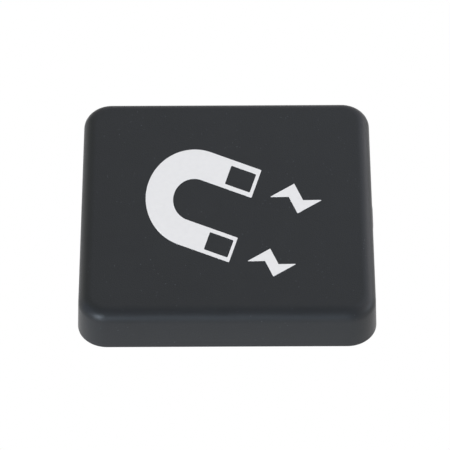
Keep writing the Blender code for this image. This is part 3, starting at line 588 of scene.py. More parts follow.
def stacked(name, levels, at=(0, 0)):
    """Upright loft through (outline, height) levels."""
    return loft(name, [raised(outline, z, at) for outline, z in levels])


def prisms(name, outline, low, high, places):
    bm = bmesh.new()
    for place in places:
        skin(bm, [raised(outline, low, place), raised(outline, high, place)])
    return mesh_of(name, bm)


def turned(name, profile, steps=48, at=(0, 0)):
    """Solid of revolution through (radius, height) pairs, from its bottom to its top."""
    return stacked(name, [(circle(radius, steps), z) for radius, z in profile], at)


def ring(name, section, steps=96):
    """Ring with a closed (radius, height) section about the Z axis."""
    rows = []
    for step in range(steps):
        c, s = math.cos(FULL * step / steps), math.sin(FULL * step / steps)
        rows.append([(r * c, r * s, z) for r, z in section])
    return loft(name, rows, closed=True)


def softened(corners, radius, steps=4):
    """Outline with each corner rounded off, by no more than its shorter side allows."""
    corners = [Vector(corner) for corner in corners]
    share = 0.4
    points = []
    count = len(corners)
    for i, corner in enumerate(corners):
        before, after = corners[i - 1] - corner, corners[(i + 1) % count] - corner
        half_angle = before.angle(after) / 2
        run = min(radius / math.tan(half_angle), share * before.length, share * after.length)
        start, end = corner + before.normalized() * run, corner + after.normalized() * run
        for step in range(steps + 1):
            t = step / steps
            points.append(start * (1 - t) ** 2 + corner * 2 * t * (1 - t) + end * t**2)
    return [(p.x, p.y) for p in points]


def soft_block(name, width, depth, height, edge=0.12 * MM):
    """Box that stands on its own XY plane, with its edges rounded."""
    half_x, half_y, radius = width / 2, depth / 2, 1.3 * edge
    levels = [(edge, 0), (0.3 * edge, 0.3 * edge), (0, edge)]
    levels += [(inset, height - z) for inset, z in reversed(levels)]
    return stacked(name, [(rounded_rectangle(half_x - i, half_y - i, radius - i, 3), z) for i, z in levels])


def moved(mesh, by, turn=None):
    """The mesh turned by a matrix and moved."""
    matrix = Matrix.Translation(by)
    if turn is not None:
        matrix = matrix @ turn
    mesh.transform(matrix)
    return mesh


# Turns that lay a piece drawn along +Z so that it points along +X, or along +Y
TO_RIGHT = Matrix(((0, 0, 1, 0), (1, 0, 0, 0), (0, 1, 0, 0), (0, 0, 0, 1)))
TO_BACK = Matrix(((-1, 0, 0, 0), (0, 0, 1, 0), (0, 1, 0, 0), (0, 0, 0, 1)))


def temporary(mesh):
    made = bpy.data.objects.new(mesh.name, mesh)
    bpy.context.scene.collection.objects.link(made)
    return made


def as_mesh(thing, name):
    """The evaluated object as a plain mesh; the object is removed."""
    bpy.context.view_layer.update()
    evaluated = thing.evaluated_get(bpy.context.evaluated_depsgraph_get())
    mesh = bpy.data.meshes.new_from_object(evaluated)
    bpy.data.objects.remove(thing)
    mesh.name = name
    return mesh


def combined(base, *steps):
    """The mesh after Boolean steps, each an operation and the mesh that it uses."""
    body = temporary(base)
    tools = []
    for operation, mesh in steps:
        tools.append(temporary(mesh))
        modifier = body.modifiers.new(operation, "BOOLEAN")
        modifier.operation = operation
        modifier.solver = "EXACT"
        modifier.object = tools[-1]
    result = as_mesh(body, base.name)
    for tool in tools:
        bpy.data.objects.remove(tool)
    return result


def piece(name, mesh, material, body=HOUSING, slot=None, stands_for=(), sharp=35):
    """A finished piece that rides on a body; edges sharper than this many degrees stay sharp."""
    mesh.shade_smooth()
    mesh.set_sharp_from_angle(angle=math.radians(sharp))
    mesh.materials.clear()
    mesh.materials.append(material)
    made = temporary(mesh)
    made.name = name
    mesh.name = name
    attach(made, body)
    if stands_for:
        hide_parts(*stands_for)
    return made


def node_piece(slot, name, mesh, *nodes, **more):
    """A piece that stands for these CAD nodes, in the finish of their slot."""
    return piece(name, mesh, FINISHES[slot], slot=slot, stands_for=nodes, **more)


# What repeats, or follows a path


def copies_recipe():
    """One shape at each point of the starting mesh, turned by the point's own turn."""
    recipe = Recipe("copies_at_marks", Shape="Object")
    shape = recipe.add("GeometryNodeObjectInfo", {}, {"Object": recipe.given("Shape")}, "Geometry")
    turn = recipe.add("GeometryNodeInputNamedAttribute", {"data_type": "FLOAT"}, {"Name": "turn"})
    recipe.ends_in(recipe.turned_instances(recipe.given("Geometry"), shape, turn))
    return recipe


def winding_recipe():
    """Wire wound in flat spirals, one on another, each turned a little from the one below."""
    level_turn = 0.7
    recipe = Recipe(
        "wound_wire", Inner="Float", Outer="Float", Turns="Float", Wire="Float", Levels="Int", Rise="Float",
        Low="Float", Facets="Int",
    )
    spiral_inputs = {
        "Resolution": recipe.given("Facets"),
        "Rotations": recipe.given("Turns"),
        "Start Radius": recipe.given("Inner"),
        "End Radius": recipe.given("Outer"),
        "Height": 0.0,
    }
    spiral = recipe.add("GeometryNodeCurveSpiral", {}, spiral_inputs)
    section_inputs = {"Resolution": 8, "Radius": recipe.given("Wire")}
    section = recipe.add("GeometryNodeCurvePrimitiveCircle", {"mode": "RADIUS"}, section_inputs)
    wire_inputs = {"Curve": spiral, "Profile Curve": section, "Fill Caps": True}
    wire = recipe.add("GeometryNodeCurveToMesh", {}, wire_inputs)
    start = recipe.add("ShaderNodeCombineXYZ", {}, {"Z": recipe.given("Low")})
    step = recipe.add("ShaderNodeCombineXYZ", {}, {"Z": recipe.given("Rise")})
    line_inputs = {"Count": recipe.given("Levels"), "Start Location": start, "Offset": step}
    levels = recipe.add("GeometryNodeMeshLine", {"mode": "OFFSET"}, line_inputs)
    number = recipe.add("GeometryNodeInputIndex")
    recipe.ends_in(recipe.turned_instances(levels, wire, number * level_turn))
    return recipe


def strip_recipe():
    """Flat strip along each path of the starting mesh."""
    recipe = Recipe("strips_on_paths", Width="Float", Thickness="Float")
    path = recipe.add("GeometryNodeMeshToCurve", {}, {"Mesh": recipe.given("Geometry")})
    upright = recipe.add("GeometryNodeSetCurveNormal", {"mode": "Z_UP"}, {"Curve": path})
    section_inputs = {"Width": recipe.given("Width"), "Height": recipe.given("Thickness")}
    section = recipe.add("GeometryNodeCurvePrimitiveQuadrilateral", {}, section_inputs)
    strip_inputs = {"Curve": upright, "Profile Curve": section, "Fill Caps": True}
    recipe.ends_in(recipe.add("GeometryNodeCurveToMesh", {}, strip_inputs))
    return recipe


COPIES = copies_recipe()
WINDING = winding_recipe()
STRIPS = strip_recipe()


def marks(places):
    """Mesh of points; a place is (x, y, z), or (x, y, z, turn)."""
    mesh = bpy.data.meshes.new("marks")
    mesh.from_pydata([place[:3] for place in places], [], [])
    turns = mesh.attributes.new("turn", "FLOAT", "POINT")
    turns.data.foreach_set("value", [place[3] if len(place) > 3 else 0.0 for place in places])
    return mesh


def copies(name, shape, places, finish):
    """One mesh with the shape at each place."""
    pattern = temporary(shape)
    mesh = COPIES.made(name, marks(places), Shape=pattern, Finish=finish)
    bpy.data.objects.remove(pattern)
    if "turn" in mesh.attributes:
        mesh.attributes.remove(mesh.attributes["turn"])
    return mesh


def placed(place, x, y, z=0.0):
    """Where a point of a part lies when the part stands at a place, and how it is turned."""
    c, s = math.cos(place[3]), math.sin(place[3])
    return (place[0] + x * c - y * s, place[1] + x * s + y * c, place[2] + z, place[3])


# Cover


def wall_face(z):
    return HALF - (z - RIM_Z) * math.tan(DRAFT)


def shell_levels(half, radius, low, high, fillet, steps):
    """Levels of a drafted block with a rounded top edge, and a ring on the flat just inside it."""
    slope = math.tan(DRAFT)
    centre_z = high - fillet
    centre_inset = (centre_z - RIM_Z) * slope + fillet / math.cos(DRAFT)
    profile = [((low - RIM_Z) * slope, low)]
    near = centre_z - FILLET_MARGIN
    profile.append(((near - RIM_Z) * slope, near))
    for step in range(steps + 1):
        angle = DRAFT + (QUARTER - DRAFT) * step / steps
        profile.append((centre_inset - fillet * math.cos(angle), centre_z + fillet * math.sin(angle)))
    profile.append((centre_inset + TOP_MARGIN, high))
    levels = []
    for inset, z in profile:
        corner = max(radius - inset, 0.4 * radius)
        levels.append((rounded_rectangle(half - inset, half - inset, corner, shoulder=SHOULDER), z))
    return levels


def slot_cutter(name, length, height, z):
    """Cutter for a slot through a wall, drawn from the middle outwards along +Z, flared at the face."""
    slope = math.tan(DRAFT)
    face = wall_face(z)
    rings = []
    for depth, grow in ((-4 * WALL, 0), *slot_flare()):
        outline = stadium(length + 2 * grow, height + 2 * grow)
        rings.append([(x, y, face + depth - y * slope) for x, y in outline])
    return loft(name, rings)


def slot_flare():
    """(depth from the face, growth of the outline) round a slot's mouth."""
    steps = 4
    flare = []
    for step in range(steps + 1):
        angle = QUARTER * step / steps
        flare.append((SLOT_ROUND * (math.sin(angle) - 1), SLOT_ROUND * (1 - math.cos(angle))))
    return [*flare, (OVERRUN, SLOT_ROUND)]


def corner_places(distance):
    return [(x * distance, y * distance) for x, y in ((1, 1), (-1, 1), (-1, -1), (1, -1))]


def rim_levels():
    """Rounded lower edge of the rim."""
    steps = 4
    levels = []
    for step in range(steps):
        angle = QUARTER * step / steps
        inset = RIM_ROUND * (1 - math.sin(angle))
        outline = rounded_rectangle(HALF - inset, HALF - inset, CORNER_RADIUS - inset, shoulder=SHOULDER)
        levels.append((outline, RIM_Z + RIM_ROUND * (1 - math.cos(angle))))
    return levels


def wall_slot(node, length, height, turn):
    """Cutter for the slot in which a node shows."""
    middle = span(node)[2]
    cutter = slot_cutter(node + "_slot", length + 2 * EDGE_GAP, height + 2 * EDGE_GAP, middle.z)
    along = (0, middle.y, middle.z) if turn is TO_RIGHT else (middle.x, 0, middle.z)
    return moved(cutter, along, turn)


def cover_shell():
    top = TOP_Z - INK_THICKNESS
    body = shell_levels(HALF, CORNER_RADIUS, RIM_Z + RIM_ROUND, top, TOP_FILLET, FILLET_STEPS)
    shell = stacked("cover_shell", [*rim_levels(), *body])
    below = RIM_Z - OVERRUN
    inner = shell_levels(HALF - WALL, CORNER_RADIUS - WALL, below, CEILING_Z, TOP_FILLET - WALL, 5)
    seat = rounded_rectangle(HALF - RIM_LIP, HALF - RIM_LIP, CORNER_RADIUS - RIM_LIP)
    ledge = PLATE_TOP_Z + SEAT_GAP
    into_wall = CEILING_Z + WALL / 2
    boss, pilot = circle(BOSS_RADIUS), circle(PILOT_RADIUS, 24)
    screws = corner_places(POST_AT) + corner_places(EAR_AT)
    corner_bosses = prisms("bosses", boss, PLATE_HIGH.z + SEAT_GAP, into_wall, corner_places(POST_AT))
    ear_bosses = prisms("ear_bosses", boss, WINDING_LOW.z, into_wall, corner_places(EAR_AT))
    low, high, _ = span("usb_socket_shell")
    return combined(
        shell,
        ("DIFFERENCE", stacked("cavity", inner)),
        ("DIFFERENCE", stacked("rebate", [(seat, below), (seat, ledge)])),
        ("UNION", corner_bosses),
        ("UNION", ear_bosses),
        ("DIFFERENCE", prisms("pilots", pilot, ledge, PILOT_TOP_Z, screws)),
        ("DIFFERENCE", wall_slot("button_cap", BUTTON_LENGTH, BUTTON_HEIGHT, TO_RIGHT)),
        ("DIFFERENCE", wall_slot("light_pipe", 2 * LIGHT_RADIUS, 2 * LIGHT_RADIUS, TO_RIGHT)),
        ("DIFFERENCE", wall_slot("usb_socket_shell", high.x - low.x, high.z - low.z, TO_BACK)),
    )


# The printed mark: a horseshoe magnet and two sparks


MARK_AT = Vector((-8.8 * MM, 2.42 * MM))
MARK_STRETCH = 1.361
MARK_SPREAD = 0.693  # growth per metre towards the back
MARK_TURN = math.radians(-19.75)
MAGNET_OUTER = 13.25 * MM
MAGNET_INNER = 5.72 * MM
NEAR_REACH = 14.83 * MM  # middle of the bow to the nearer arm's end
FAR_REACH = 14.58 * MM
BORE_SHIFT = Vector((0.08 * MM, -0.45 * MM))
FAR_WINDOW = ((6.45 * MM, 13.65 * MM), (6.45 * MM, 11.7 * MM))  # along the arm, and across it
NEAR_WINDOW = ((7.15 * MM, 14 * MM), (-12.18 * MM, -7.2 * MM))
SPARKS = ((26.05 * MM, 9.15 * MM, 1), (25.85 * MM, -9.4 * MM, 0.94))  # along, across and size
SPARK_CORNERS = ((-7.155 * MM, 0.41 * MM), (-0.478 * MM, 4.042 * MM), (1.952 * MM, -0.464 * MM))


def on_top(point):
    """Drawing point to the pad's top: taller, and wider towards the back, to read true from the front."""
    y = point.y * MARK_STRETCH
    spread = 1 + MARK_SPREAD * y
    return MARK_AT + Vector((point.x * spread, y * spread))


def turned_point(along, across):
    c, s = math.cos(MARK_TURN), math.sin(MARK_TURN)
    return Vector((along * c - across * s, along * s + across * c))


def magnet_outline():
    steps = 48
    angles = [QUARTER + math.pi * step / steps for step in range(steps + 1)]
    outer = [turned_point(*at_bearing(MAGNET_OUTER, angle)) for angle in angles]
    shift = turned_point(*BORE_SHIFT)
    inner = [turned_point(*at_bearing(MAGNET_INNER, angle)) + shift for angle in angles]
    near_end = arm_end(NEAR_REACH, -MAGNET_OUTER, BORE_SHIFT.y - MAGNET_INNER)
    far_end = arm_end(FAR_REACH, BORE_SHIFT.y + MAGNET_INNER, MAGNET_OUTER)
    return [*outer, *near_end, *reversed(inner), *far_end]


def arm_end(reach, first, second):
    """The two rounded corners of an arm's end, from one edge to the other."""
    back, radius, steps = 2 * MM, 0.25 * MM, 4
    corners = ((reach - back, first), (reach, first), (reach, second), (reach - back, second))
    points = softened([turned_point(*corner) for corner in corners], radius, steps)
    return points[steps + 1 : 3 * (steps + 1)]


def window_outline(along, across):
    (start, end), (low, high) = along, across
    corners = ((start, low), (end, low), (end, high), (start, high))
    return softened([turned_point(*corner) for corner in corners], 0.33 * MM)


def spark_outline(along, across, size):
    """Six-pointed bolt, the same when turned half round."""
    middle = turned_point(along, across)
    half = [Vector(corner) * size for corner in SPARK_CORNERS]
    return softened([middle + p for p in half] + [middle - p for p in half], 0.12 * MM, 3)


def mark_mesh():
    """Thin film of ink with a rounded edge."""
    outlines = [magnet_outline(), window_outline(*FAR_WINDOW), window_outline(*NEAR_WINDOW)]
    outlines += [spark_outline(*spark) for spark in SPARKS]
    curve = bpy.data.curves.new("top_mark", "CURVE")
    curve.dimensions = "2D"
    curve.fill_mode = "BOTH"
    curve.extrude = 0.4 * INK_THICKNESS
    curve.bevel_depth = 0.1 * INK_THICKNESS
    curve.bevel_resolution = 0
    for outline in outlines:
        spline = curve.splines.new("POLY")
        spline.points.add(len(outline) - 1)
        for target, point in zip(spline.points, outline):
            x, y = on_top(Vector(point))
            target.co = (x, y, 0, 1)
        spline.use_cyclic_u = True
    shape = bpy.data.objects.new("top_mark", curve)
    bpy.context.scene.collection.objects.link(shape)
    return moved(as_mesh(shape, "top_mark"), (0, 0, TOP_Z - INK_THICKNESS / 2))


def make_cover():
    node_piece("case_plastic", "cover_shell", cover_shell(), "top_cover")
    piece("top_mark", mark_mesh(), INK)


# Push button, its switch and the light


def lens_profile(radius, edge, crown, steps=5):
    """(radius, height) of a rounded edge and a low dome inside it; height 0 is where the dome starts."""
    profile = []
    for step in range(steps + 1):
        angle = QUARTER * step / steps
        profile.append((radius - edge * (1 - math.cos(angle)), edge * (math.sin(angle) - 1)))
    inner = radius - edge
    for step in range(1, steps):
        t = step / steps
        profile.append((inner * (1 - t), crown * (1 - (1 - t) ** 2)))
    return profile


def button_cover():
    """Cap drawn along +Z: its post, the flange behind the wall, and the crowned face in the wall."""
    low, high, middle = span("button_cap")
    face = high.x - FACE_CROWN
    flange_high = face - WALL - SEAT_GAP - EDGE_GAP
    flange_low = flange_high - FLANGE_THICKNESS
    flange_length, flange_height = high.y - low.y, high.z - low.z
    post = 2 * (span("switch_plunger")[1].z - middle.z)
    edge = 0.15 * MM
    levels = [
        (stadium(post - 2 * edge, post - 2 * edge), low.x),
        (stadium(post, post), low.x + edge),
        (stadium(post, post), flange_low),
        (stadium(flange_length - 2 * edge, flange_height - 2 * edge), flange_low),
        (stadium(flange_length, flange_height), flange_low + edge),
        (stadium(flange_length, flange_height), flange_high - edge),
        (stadium(flange_length - 2 * edge, flange_height - 2 * edge), flange_high),
        (stadium(BUTTON_LENGTH, BUTTON_HEIGHT), flange_high),
    ]
    for radius, height in lens_profile(BUTTON_HEIGHT / 2, BUTTON_EDGE, FACE_CROWN, 6):
        inset = BUTTON_HEIGHT - 2 * radius
        levels.append((stadium(BUTTON_LENGTH - inset, BUTTON_HEIGHT - inset), face + height))
    return moved(stacked("button_cover", levels), (0, middle.y, middle.z), TO_RIGHT)


def plunger():
    """Round plunger with a narrower nose, which presses the dome."""
    low, high, middle = span("switch_plunger")
    radius, edge = high.z - middle.z, 0.2 * MM
    nose, nose_end, shoulder = 0.6 * radius, low.x + 0.5 * MM, low.x + 0.6 * MM
    profile = [
        (nose, low.x),
        (nose + edge, low.x + 0.3 * edge),
        (nose + edge, nose_end),
        (radius - edge, shoulder),
        (radius, shoulder + edge),
        (radius, high.x - edge),
        (radius - edge, high.x),
    ]
    return moved(turned("plunger", profile, 40), (0, middle.y, middle.z), TO_RIGHT)


def switch_case():
    """Moulded switch body with a round pocket for its dome, and a lip round the pocket's mouth."""
    low, high, middle = span("switch_body")
    dome_low, dome_high, _ = span("switch_dome")
    pocket = dome_high.z - middle.z + SEAT_GAP
    edge, lip, lip_depth = 0.15 * MM, 0.15 * MM, 0.2 * MM
    body = soft_block("switch_case", high.x - low.x, high.y - low.y, high.z - low.z, edge)
    moved(body, (middle.x, middle.y, low.z))
    profile = [
        (pocket, dome_low.x - SEAT_GAP),
        (pocket, high.x - lip_depth),
        (pocket + lip, high.x),
        (pocket + lip, high.x + WALL),
    ]
    cutter = moved(turned("pocket", profile), (0, middle.y, middle.z), TO_RIGHT)
    return combined(body, ("DIFFERENCE", cutter))


def click_dome():
    """Thin sprung cap in the pocket, bulging towards the plunger."""
    low, high, middle = span("switch_dome")
    radius, rise = high.z - middle.z, high.x - low.x
    steps, vent = 8, 0.1 * MM
    outside = []
    inside = []
    for step in range(steps):
        c, s = math.cos(QUARTER * step / steps), math.sin(QUARTER * step / steps)
        outside.append((radius * c, rise * s))
        inside.append(((radius - DOME_SHEET) * c, (rise - DOME_SHEET) * s))
    profile = [(vent, rise - DOME_SHEET), *reversed(inside), *outside, (vent, rise)]
    return moved(turned("click_dome", profile, 40), (low.x, middle.y, middle.z), TO_RIGHT)


def light_rod():
    """Clear rod from the light to the wall's face, with a collar behind the wall and a domed end."""
    low, high, middle = span("light_pipe")
    collar_end = high.x - WALL - EDGE_GAP
    edge, face_edge = 0.1 * MM, 0.2 * MM
    profile = [
        (LIGHT_RADIUS - edge, low.x),
        (LIGHT_RADIUS, low.x + edge),
        (LIGHT_RADIUS, collar_end - COLLAR),
        (LIGHT_RADIUS + COLLAR - edge, collar_end - COLLAR),
        (LIGHT_RADIUS + COLLAR, collar_end - COLLAR + edge),
        (LIGHT_RADIUS + COLLAR, collar_end - edge),
        (LIGHT_RADIUS + COLLAR - edge, collar_end),
        (LIGHT_RADIUS, collar_end),
    ]
    for radius, height in lens_profile(LIGHT_RADIUS, face_edge, FACE_CROWN):
        profile.append((radius, high.x - FACE_CROWN + height))
    return moved(turned("light_rod", profile, 40), (0, middle.y, middle.z), TO_RIGHT)


def light_emitter():
    """Side-facing light: a block with a rounded lens on its front."""
    low, high, middle = span("status_led")
    pipe = span("light_pipe")[2]
    reach, edge, steps = high.x - low.x, 0.1 * MM, 6
    body = soft_block("light_emitter", LED_DEPTH, high.y - low.y, high.z - low.z, edge)
    moved(body, (low.x + LED_DEPTH / 2, middle.y, low.z))
    profile = [(LED_LENS_RADIUS, LED_DEPTH / 2), (LED_LENS_RADIUS, LED_DEPTH)]
    for step in range(1, steps):
        radius, rise = at_bearing(1, QUARTER * step / steps)
        profile.append((LED_LENS_RADIUS * radius, LED_DEPTH + (reach - LED_DEPTH) * rise))
    profile.append((edge, reach))
    lens = moved(turned("lens", profile, 32), (low.x, pipe.y, pipe.z), TO_RIGHT)
    return combined(body, ("UNION", lens))


def make_button_and_light():
    node_piece("button_plastic", "button_cover", button_cover(), "button_cap", body=BUTTON)
    node_piece("connector_nylon", "plunger", plunger(), "switch_plunger", body=BUTTON)
    node_piece("black_moulding", "switch_case", switch_case(), "switch_body")
    node_piece("clear_acrylic", "light_rod", light_rod(), "light_pipe")
    node_piece("led_epoxy", "light_emitter", light_emitter(), "status_led")
    dome = node_piece("spring_steel", "click_dome", click_dome(), "switch_dome")
    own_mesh(dome)


# Base plate, feet and screws


def screw(name, head_radius, head_height, length):
    """Cross-head screw that points up, with the underside of its head at z = 0 and a rolled thread."""
    crown, rim, core_gap, tip_radius = 0.35 * MM, 0.08 * MM, 0.01 * MM, 0.35 * MM
    points, crown_steps, slices_per_turn = 24, 4, 7
    rings = []
    for step in range(crown_steps + 1):
        angle = QUARTER * step / crown_steps
        radius = head_radius - crown * (1 - math.sin(angle))
        rings.append(raised(circle(radius, points), crown * (1 - math.cos(angle)) - head_height))
    for radius, z in ((head_radius, -rim), (head_radius - rim, 0), (SHANK_RADIUS, core_gap)):
        rings.append(raised(circle(radius, points), z))
    start, end = THREAD_RUNOUT, length - THREAD_RUNOUT
    count = round((end - start) / (THREAD_PITCH / slices_per_turn))
    for step in range(count + 1):
        z = start + (end - start) * step / count
        fade = min(1, (z - start) / THREAD_PITCH, (end - z) / THREAD_PITCH)
        ring_points = []
        for i in range(points):
            turn = i / points
            wave = abs(2 * ((turn - z / THREAD_PITCH) % 1) - 1)
            radius = SHANK_RADIUS - THREAD_DEPTH * (1 - fade + fade * wave)
            ring_points.append((*at_bearing(radius, FULL * turn), z))
        rings.append(ring_points)
    rings.append(raised(circle(tip_radius, points), length))
    recess_levels = ((1, -head_height - RECESS_DEPTH), (1, -head_height), (0.5, RECESS_DEPTH - head_height))
    recess = stacked("recess", [(cross(scale), z) for scale, z in recess_levels])
    return combined(loft(name, rings), ("DIFFERENCE", recess))


def cross(scale):
    """Outline of a cross recess."""
    arm, half = RECESS_ARM * scale, RECESS_HALF_WIDTH * scale
    points = []
    for turn in range(4):
        c, s = round(math.cos(QUARTER * turn)), round(math.sin(QUARTER * turn))
        points += [(x * c - y * s, x * s + y * c) for x, y in ((arm, -half), (arm, half), (half, half))]
    return points


def foot_shape():
    """Rubber foot with two rings that grip the table."""
    _, high, middle = span("rubber_foot_1")
    radius, groove, edge, top_edge, steps = high.x - middle.x, 0.18 * MM, 0.45 * MM, 0.15 * MM, 5
    profile = [
        (0.5 * MM, groove),
        (2.35 * MM, groove),
        (2.5 * MM, 0.05 * MM),
        (2.6 * MM, 0),
        (3.1 * MM, 0),
        (3.2 * MM, 0.05 * MM),
        (3.35 * MM, groove),
        (3.75 * MM, groove),
        (3.9 * MM, 0.05 * MM),
        (4.0 * MM, 0),
    ]
    for step in range(steps + 1):
        angle = QUARTER * step / steps
        profile.append((radius - edge * (1 - math.sin(angle)), edge * (1 - math.cos(angle))))
    profile += [(radius, high.z - top_edge), (radius - top_edge, high.z)]
    return turned("foot", profile, 56)


def base_tray():
    """Base plate with screw posts, sunk screw seats and foot pockets, all with softened edges."""
    half, radius, steps = PLATE_HIGH.x, CORNER_RADIUS - RIM_LIP - EDGE_GAP, 3
    levels = []
    for step in range(steps + 1):
        angle = QUARTER * step / steps
        inset = PLATE_EDGE * (1 - math.sin(angle))
        outline = rounded_rectangle(half - inset, half - inset, radius - inset, 12)
        levels.append((outline, PLATE_LOW.z + PLATE_EDGE * (1 - math.cos(angle))))
    levels.append((rounded_rectangle(half, half, radius, 12), PLATE_TOP_Z))
    posts = bmesh.new()
    root, post_edge = PLATE_LOW.z + 0.5 * MM, 0.2 * MM
    post_profile = (
        (POST_RADIUS, root), (POST_RADIUS, PLATE_HIGH.z - post_edge), (POST_RADIUS - post_edge, PLATE_HIGH.z)
    )
    for place in corner_places(POST_AT):
        skin(posts, [raised(circle(r), z, place) for r, z in post_profile])
    _, foot_high, foot_middle = span("rubber_foot_1")
    head = span("case_screw_1")[1].x - POST_AT + EDGE_GAP
    foot = foot_high.x - foot_middle.x + EDGE_GAP
    below, edge = PLATE_LOW.z - OVERRUN, 0.15 * MM
    cuts = []
    for opening, depth, places in (
        (head, HEAD_SINK, corner_places(POST_AT)),
        (foot, FOOT_POCKET, [span(node)[2].xy for node in numbered("rubber_foot")]),
    ):
        profile = (
            (opening + edge, below), (opening + edge, PLATE_LOW.z), (opening, PLATE_LOW.z + edge),
            (opening, PLATE_LOW.z + depth),
        )
        cut = bmesh.new()
        for place in places:
            skin(cut, [raised(circle(r), z, place) for r, z in profile])
        cuts.append(("DIFFERENCE", mesh_of("cut", cut)))
    holes = prisms("holes", circle(PILOT_RADIUS, 24), below, PLATE_HIGH.z + OVERRUN, corner_places(POST_AT))
    body = stacked("base_tray", levels)
    return combined(body, ("UNION", mesh_of("posts", posts)), *cuts, ("DIFFERENCE", holes))


def make_base():
    node_piece("base_plastic", "base_tray", base_tray(), "base_plate")
    feet = numbered("rubber_foot")
    places = [(*span(foot)[2].xy, 0) for foot in feet]
    mesh = copies("grip_feet", foot_shape(), places, FINISHES["foot_rubber"])
    node_piece("foot_rubber", "grip_feet", mesh, *feet)
    for kind, head_height in (("case_screw", CASE_HEAD_HEIGHT), ("board_screw", BOARD_HEAD_HEIGHT)):
        nodes = numbered(kind)
        low, high, middle = span(nodes[0])
        shape = screw(kind, high.x - middle.x, head_height, high.z - low.z - head_height)
        places = [(*span(node)[2].xy, low.z + head_height, 0.4 * i) for i, node in enumerate(nodes)]
        mesh = copies(kind + "s", shape, places, FINISHES["screw_steel"])
        node_piece("screw_steel", kind + "s", mesh, *nodes, sharp=40)


# Power socket


def socket_can():
    """Folded steel shell, closed at its inner end, with a rounded mouth."""
    low, high, middle = span("usb_socket_shell")
    length, height = high.x - low.x, high.z - low.z
    sheet = SOCKET_SHEET
    levels = []
    for inset, y in (
        (0.25 * MM, low.y),
        (0.08 * MM, low.y + 0.08 * MM),
        (0, low.y + 0.25 * MM),
        (0, high.y - 0.12 * MM),
        (0.04 * MM, high.y - 0.03 * MM),
        (0.12 * MM, high.y),
        (sheet - 0.12 * MM, high.y),
        (sheet - 0.03 * MM, high.y - 0.04 * MM),
        (sheet, high.y - 0.15 * MM),
        (sheet, low.y + sheet),
    ):
        levels.append((stadium(length - 2 * inset, height - 2 * inset, 12), y))
    return moved(stacked("socket_can", levels), (middle.x, 0, middle.z), TO_BACK)


def socket_tongue():
    """Moulded block with the contact tongue standing out of it."""
    low, high, middle = span("usb_socket_tongue")
    length, height = high.x - low.x, high.z - low.z
    root_end = low.y + TONGUE_ROOT
    edge, step, step_length, chamfer = 0.1 * MM, 0.25 * MM, 0.8 * MM, 0.15 * MM
    levels = [
        (stadium(length, height), low.y),
        (stadium(length, height), root_end - edge),
        (stadium(length - 2 * edge, height - 2 * edge), root_end),
    ]
    for grow, y in (
        (step, root_end),
        (step, root_end + step_length),
        (0, root_end + step_length + step),
        (0, high.y - chamfer),
        (-chamfer, high.y),
    ):
        levels.append((stadium(TONGUE_WIDTH + 2 * grow, TONGUE_THICKNESS + 2 * grow), y))
    return moved(stacked("socket_tongue", levels), (middle.x, 0, middle.z), TO_BACK)


def contact_shape():
    """Flat contact with a rounded tip, lying along +Y."""
    half, length, proud = CONTACT_HALF_WIDTH, CONTACT_LENGTH, 0.02 * MM
    outline = softened(((-half, 0), (half, 0), (half, length), (-half, length)), 0.1 * MM)
    return stacked("contact", [(outline, -proud), (outline, proud)])


def make_socket():
    node_piece("socket_steel", "socket_can", socket_can(), "usb_socket_shell")
    node_piece("black_moulding", "socket_tongue", socket_tongue(), "usb_socket_tongue")
    _, high, middle = span("usb_socket_tongue")
    y = high.y - CONTACT_FROM_TIP - CONTACT_LENGTH
    places = []
    for side in (-1, 1):
        for i in range(CONTACTS):
            x = middle.x + (i - (CONTACTS - 1) / 2) * CONTACT_PITCH
            places.append((x, y, middle.z + side * TONGUE_THICKNESS / 2))
    piece("socket_contacts", copies("socket_contacts", contact_shape(), places, GOLD), GOLD)


# Coil


def bobbin():
    """Spool with rounded flanges, and four ears that the cover's bosses stand on."""
    _, high, _ = span("coil_bobbin")
    outer = high.x
    core_top = PART_Z + CORE_DISC
    spool_low = core_top + SEAT_GAP
    hub_inner, hub_outer = POLE_RADIUS + SEAT_GAP, POLE_RADIUS + SEAT_GAP + HUB_WALL
    low_top, high_low = spool_low + FLANGE, high.z - FLANGE
    edge = 0.2 * MM
    section = [
        (hub_inner, spool_low),
        (outer - edge, spool_low),
        (outer, spool_low + edge),
        (outer, low_top - edge),
        (outer - edge, low_top),
        (hub_outer + edge, low_top),
        (hub_outer, low_top + edge),
        (hub_outer, high_low - edge),
        (hub_outer + edge, high_low),
        (outer - edge, high_low),
        (outer, high_low + edge),
        (outer, high.z - edge),
        (outer - edge, high.z),
        (hub_inner, high.z),
    ]
    spool = ring("bobbin", section)
    webs, ears = bmesh.new(), bmesh.new()
    root, reach, ear_edge = outer - OVERRUN, EAR_AT * math.sqrt(2), 0.15 * MM
    web = ((root, -EAR_WEB), (reach, -EAR_WEB), (reach, EAR_WEB), (root, EAR_WEB))
    ear_profile = (
        (EAR_RADIUS, PART_Z), (EAR_RADIUS, low_top - ear_edge), (EAR_RADIUS - ear_edge, low_top)
    )
    for turn in range(4):
        c, s = math.cos(QUARTER * (turn + 0.5)), math.sin(QUARTER * (turn + 0.5))
        spread = [(x * c - y * s, x * s + y * c) for x, y in web]
        skin(webs, [raised(spread, z) for z in (spool_low, low_top)])
        skin(ears, [raised(circle(r), z, (reach * c, reach * s)) for r, z in ear_profile])
    holes = prisms("holes", circle(PILOT_RADIUS, 24), PART_Z - OVERRUN, high.z, corner_places(EAR_AT))
    return combined(
        spool, ("UNION", mesh_of("webs", webs)), ("UNION", mesh_of("ears", ears)), ("DIFFERENCE", holes)
    )


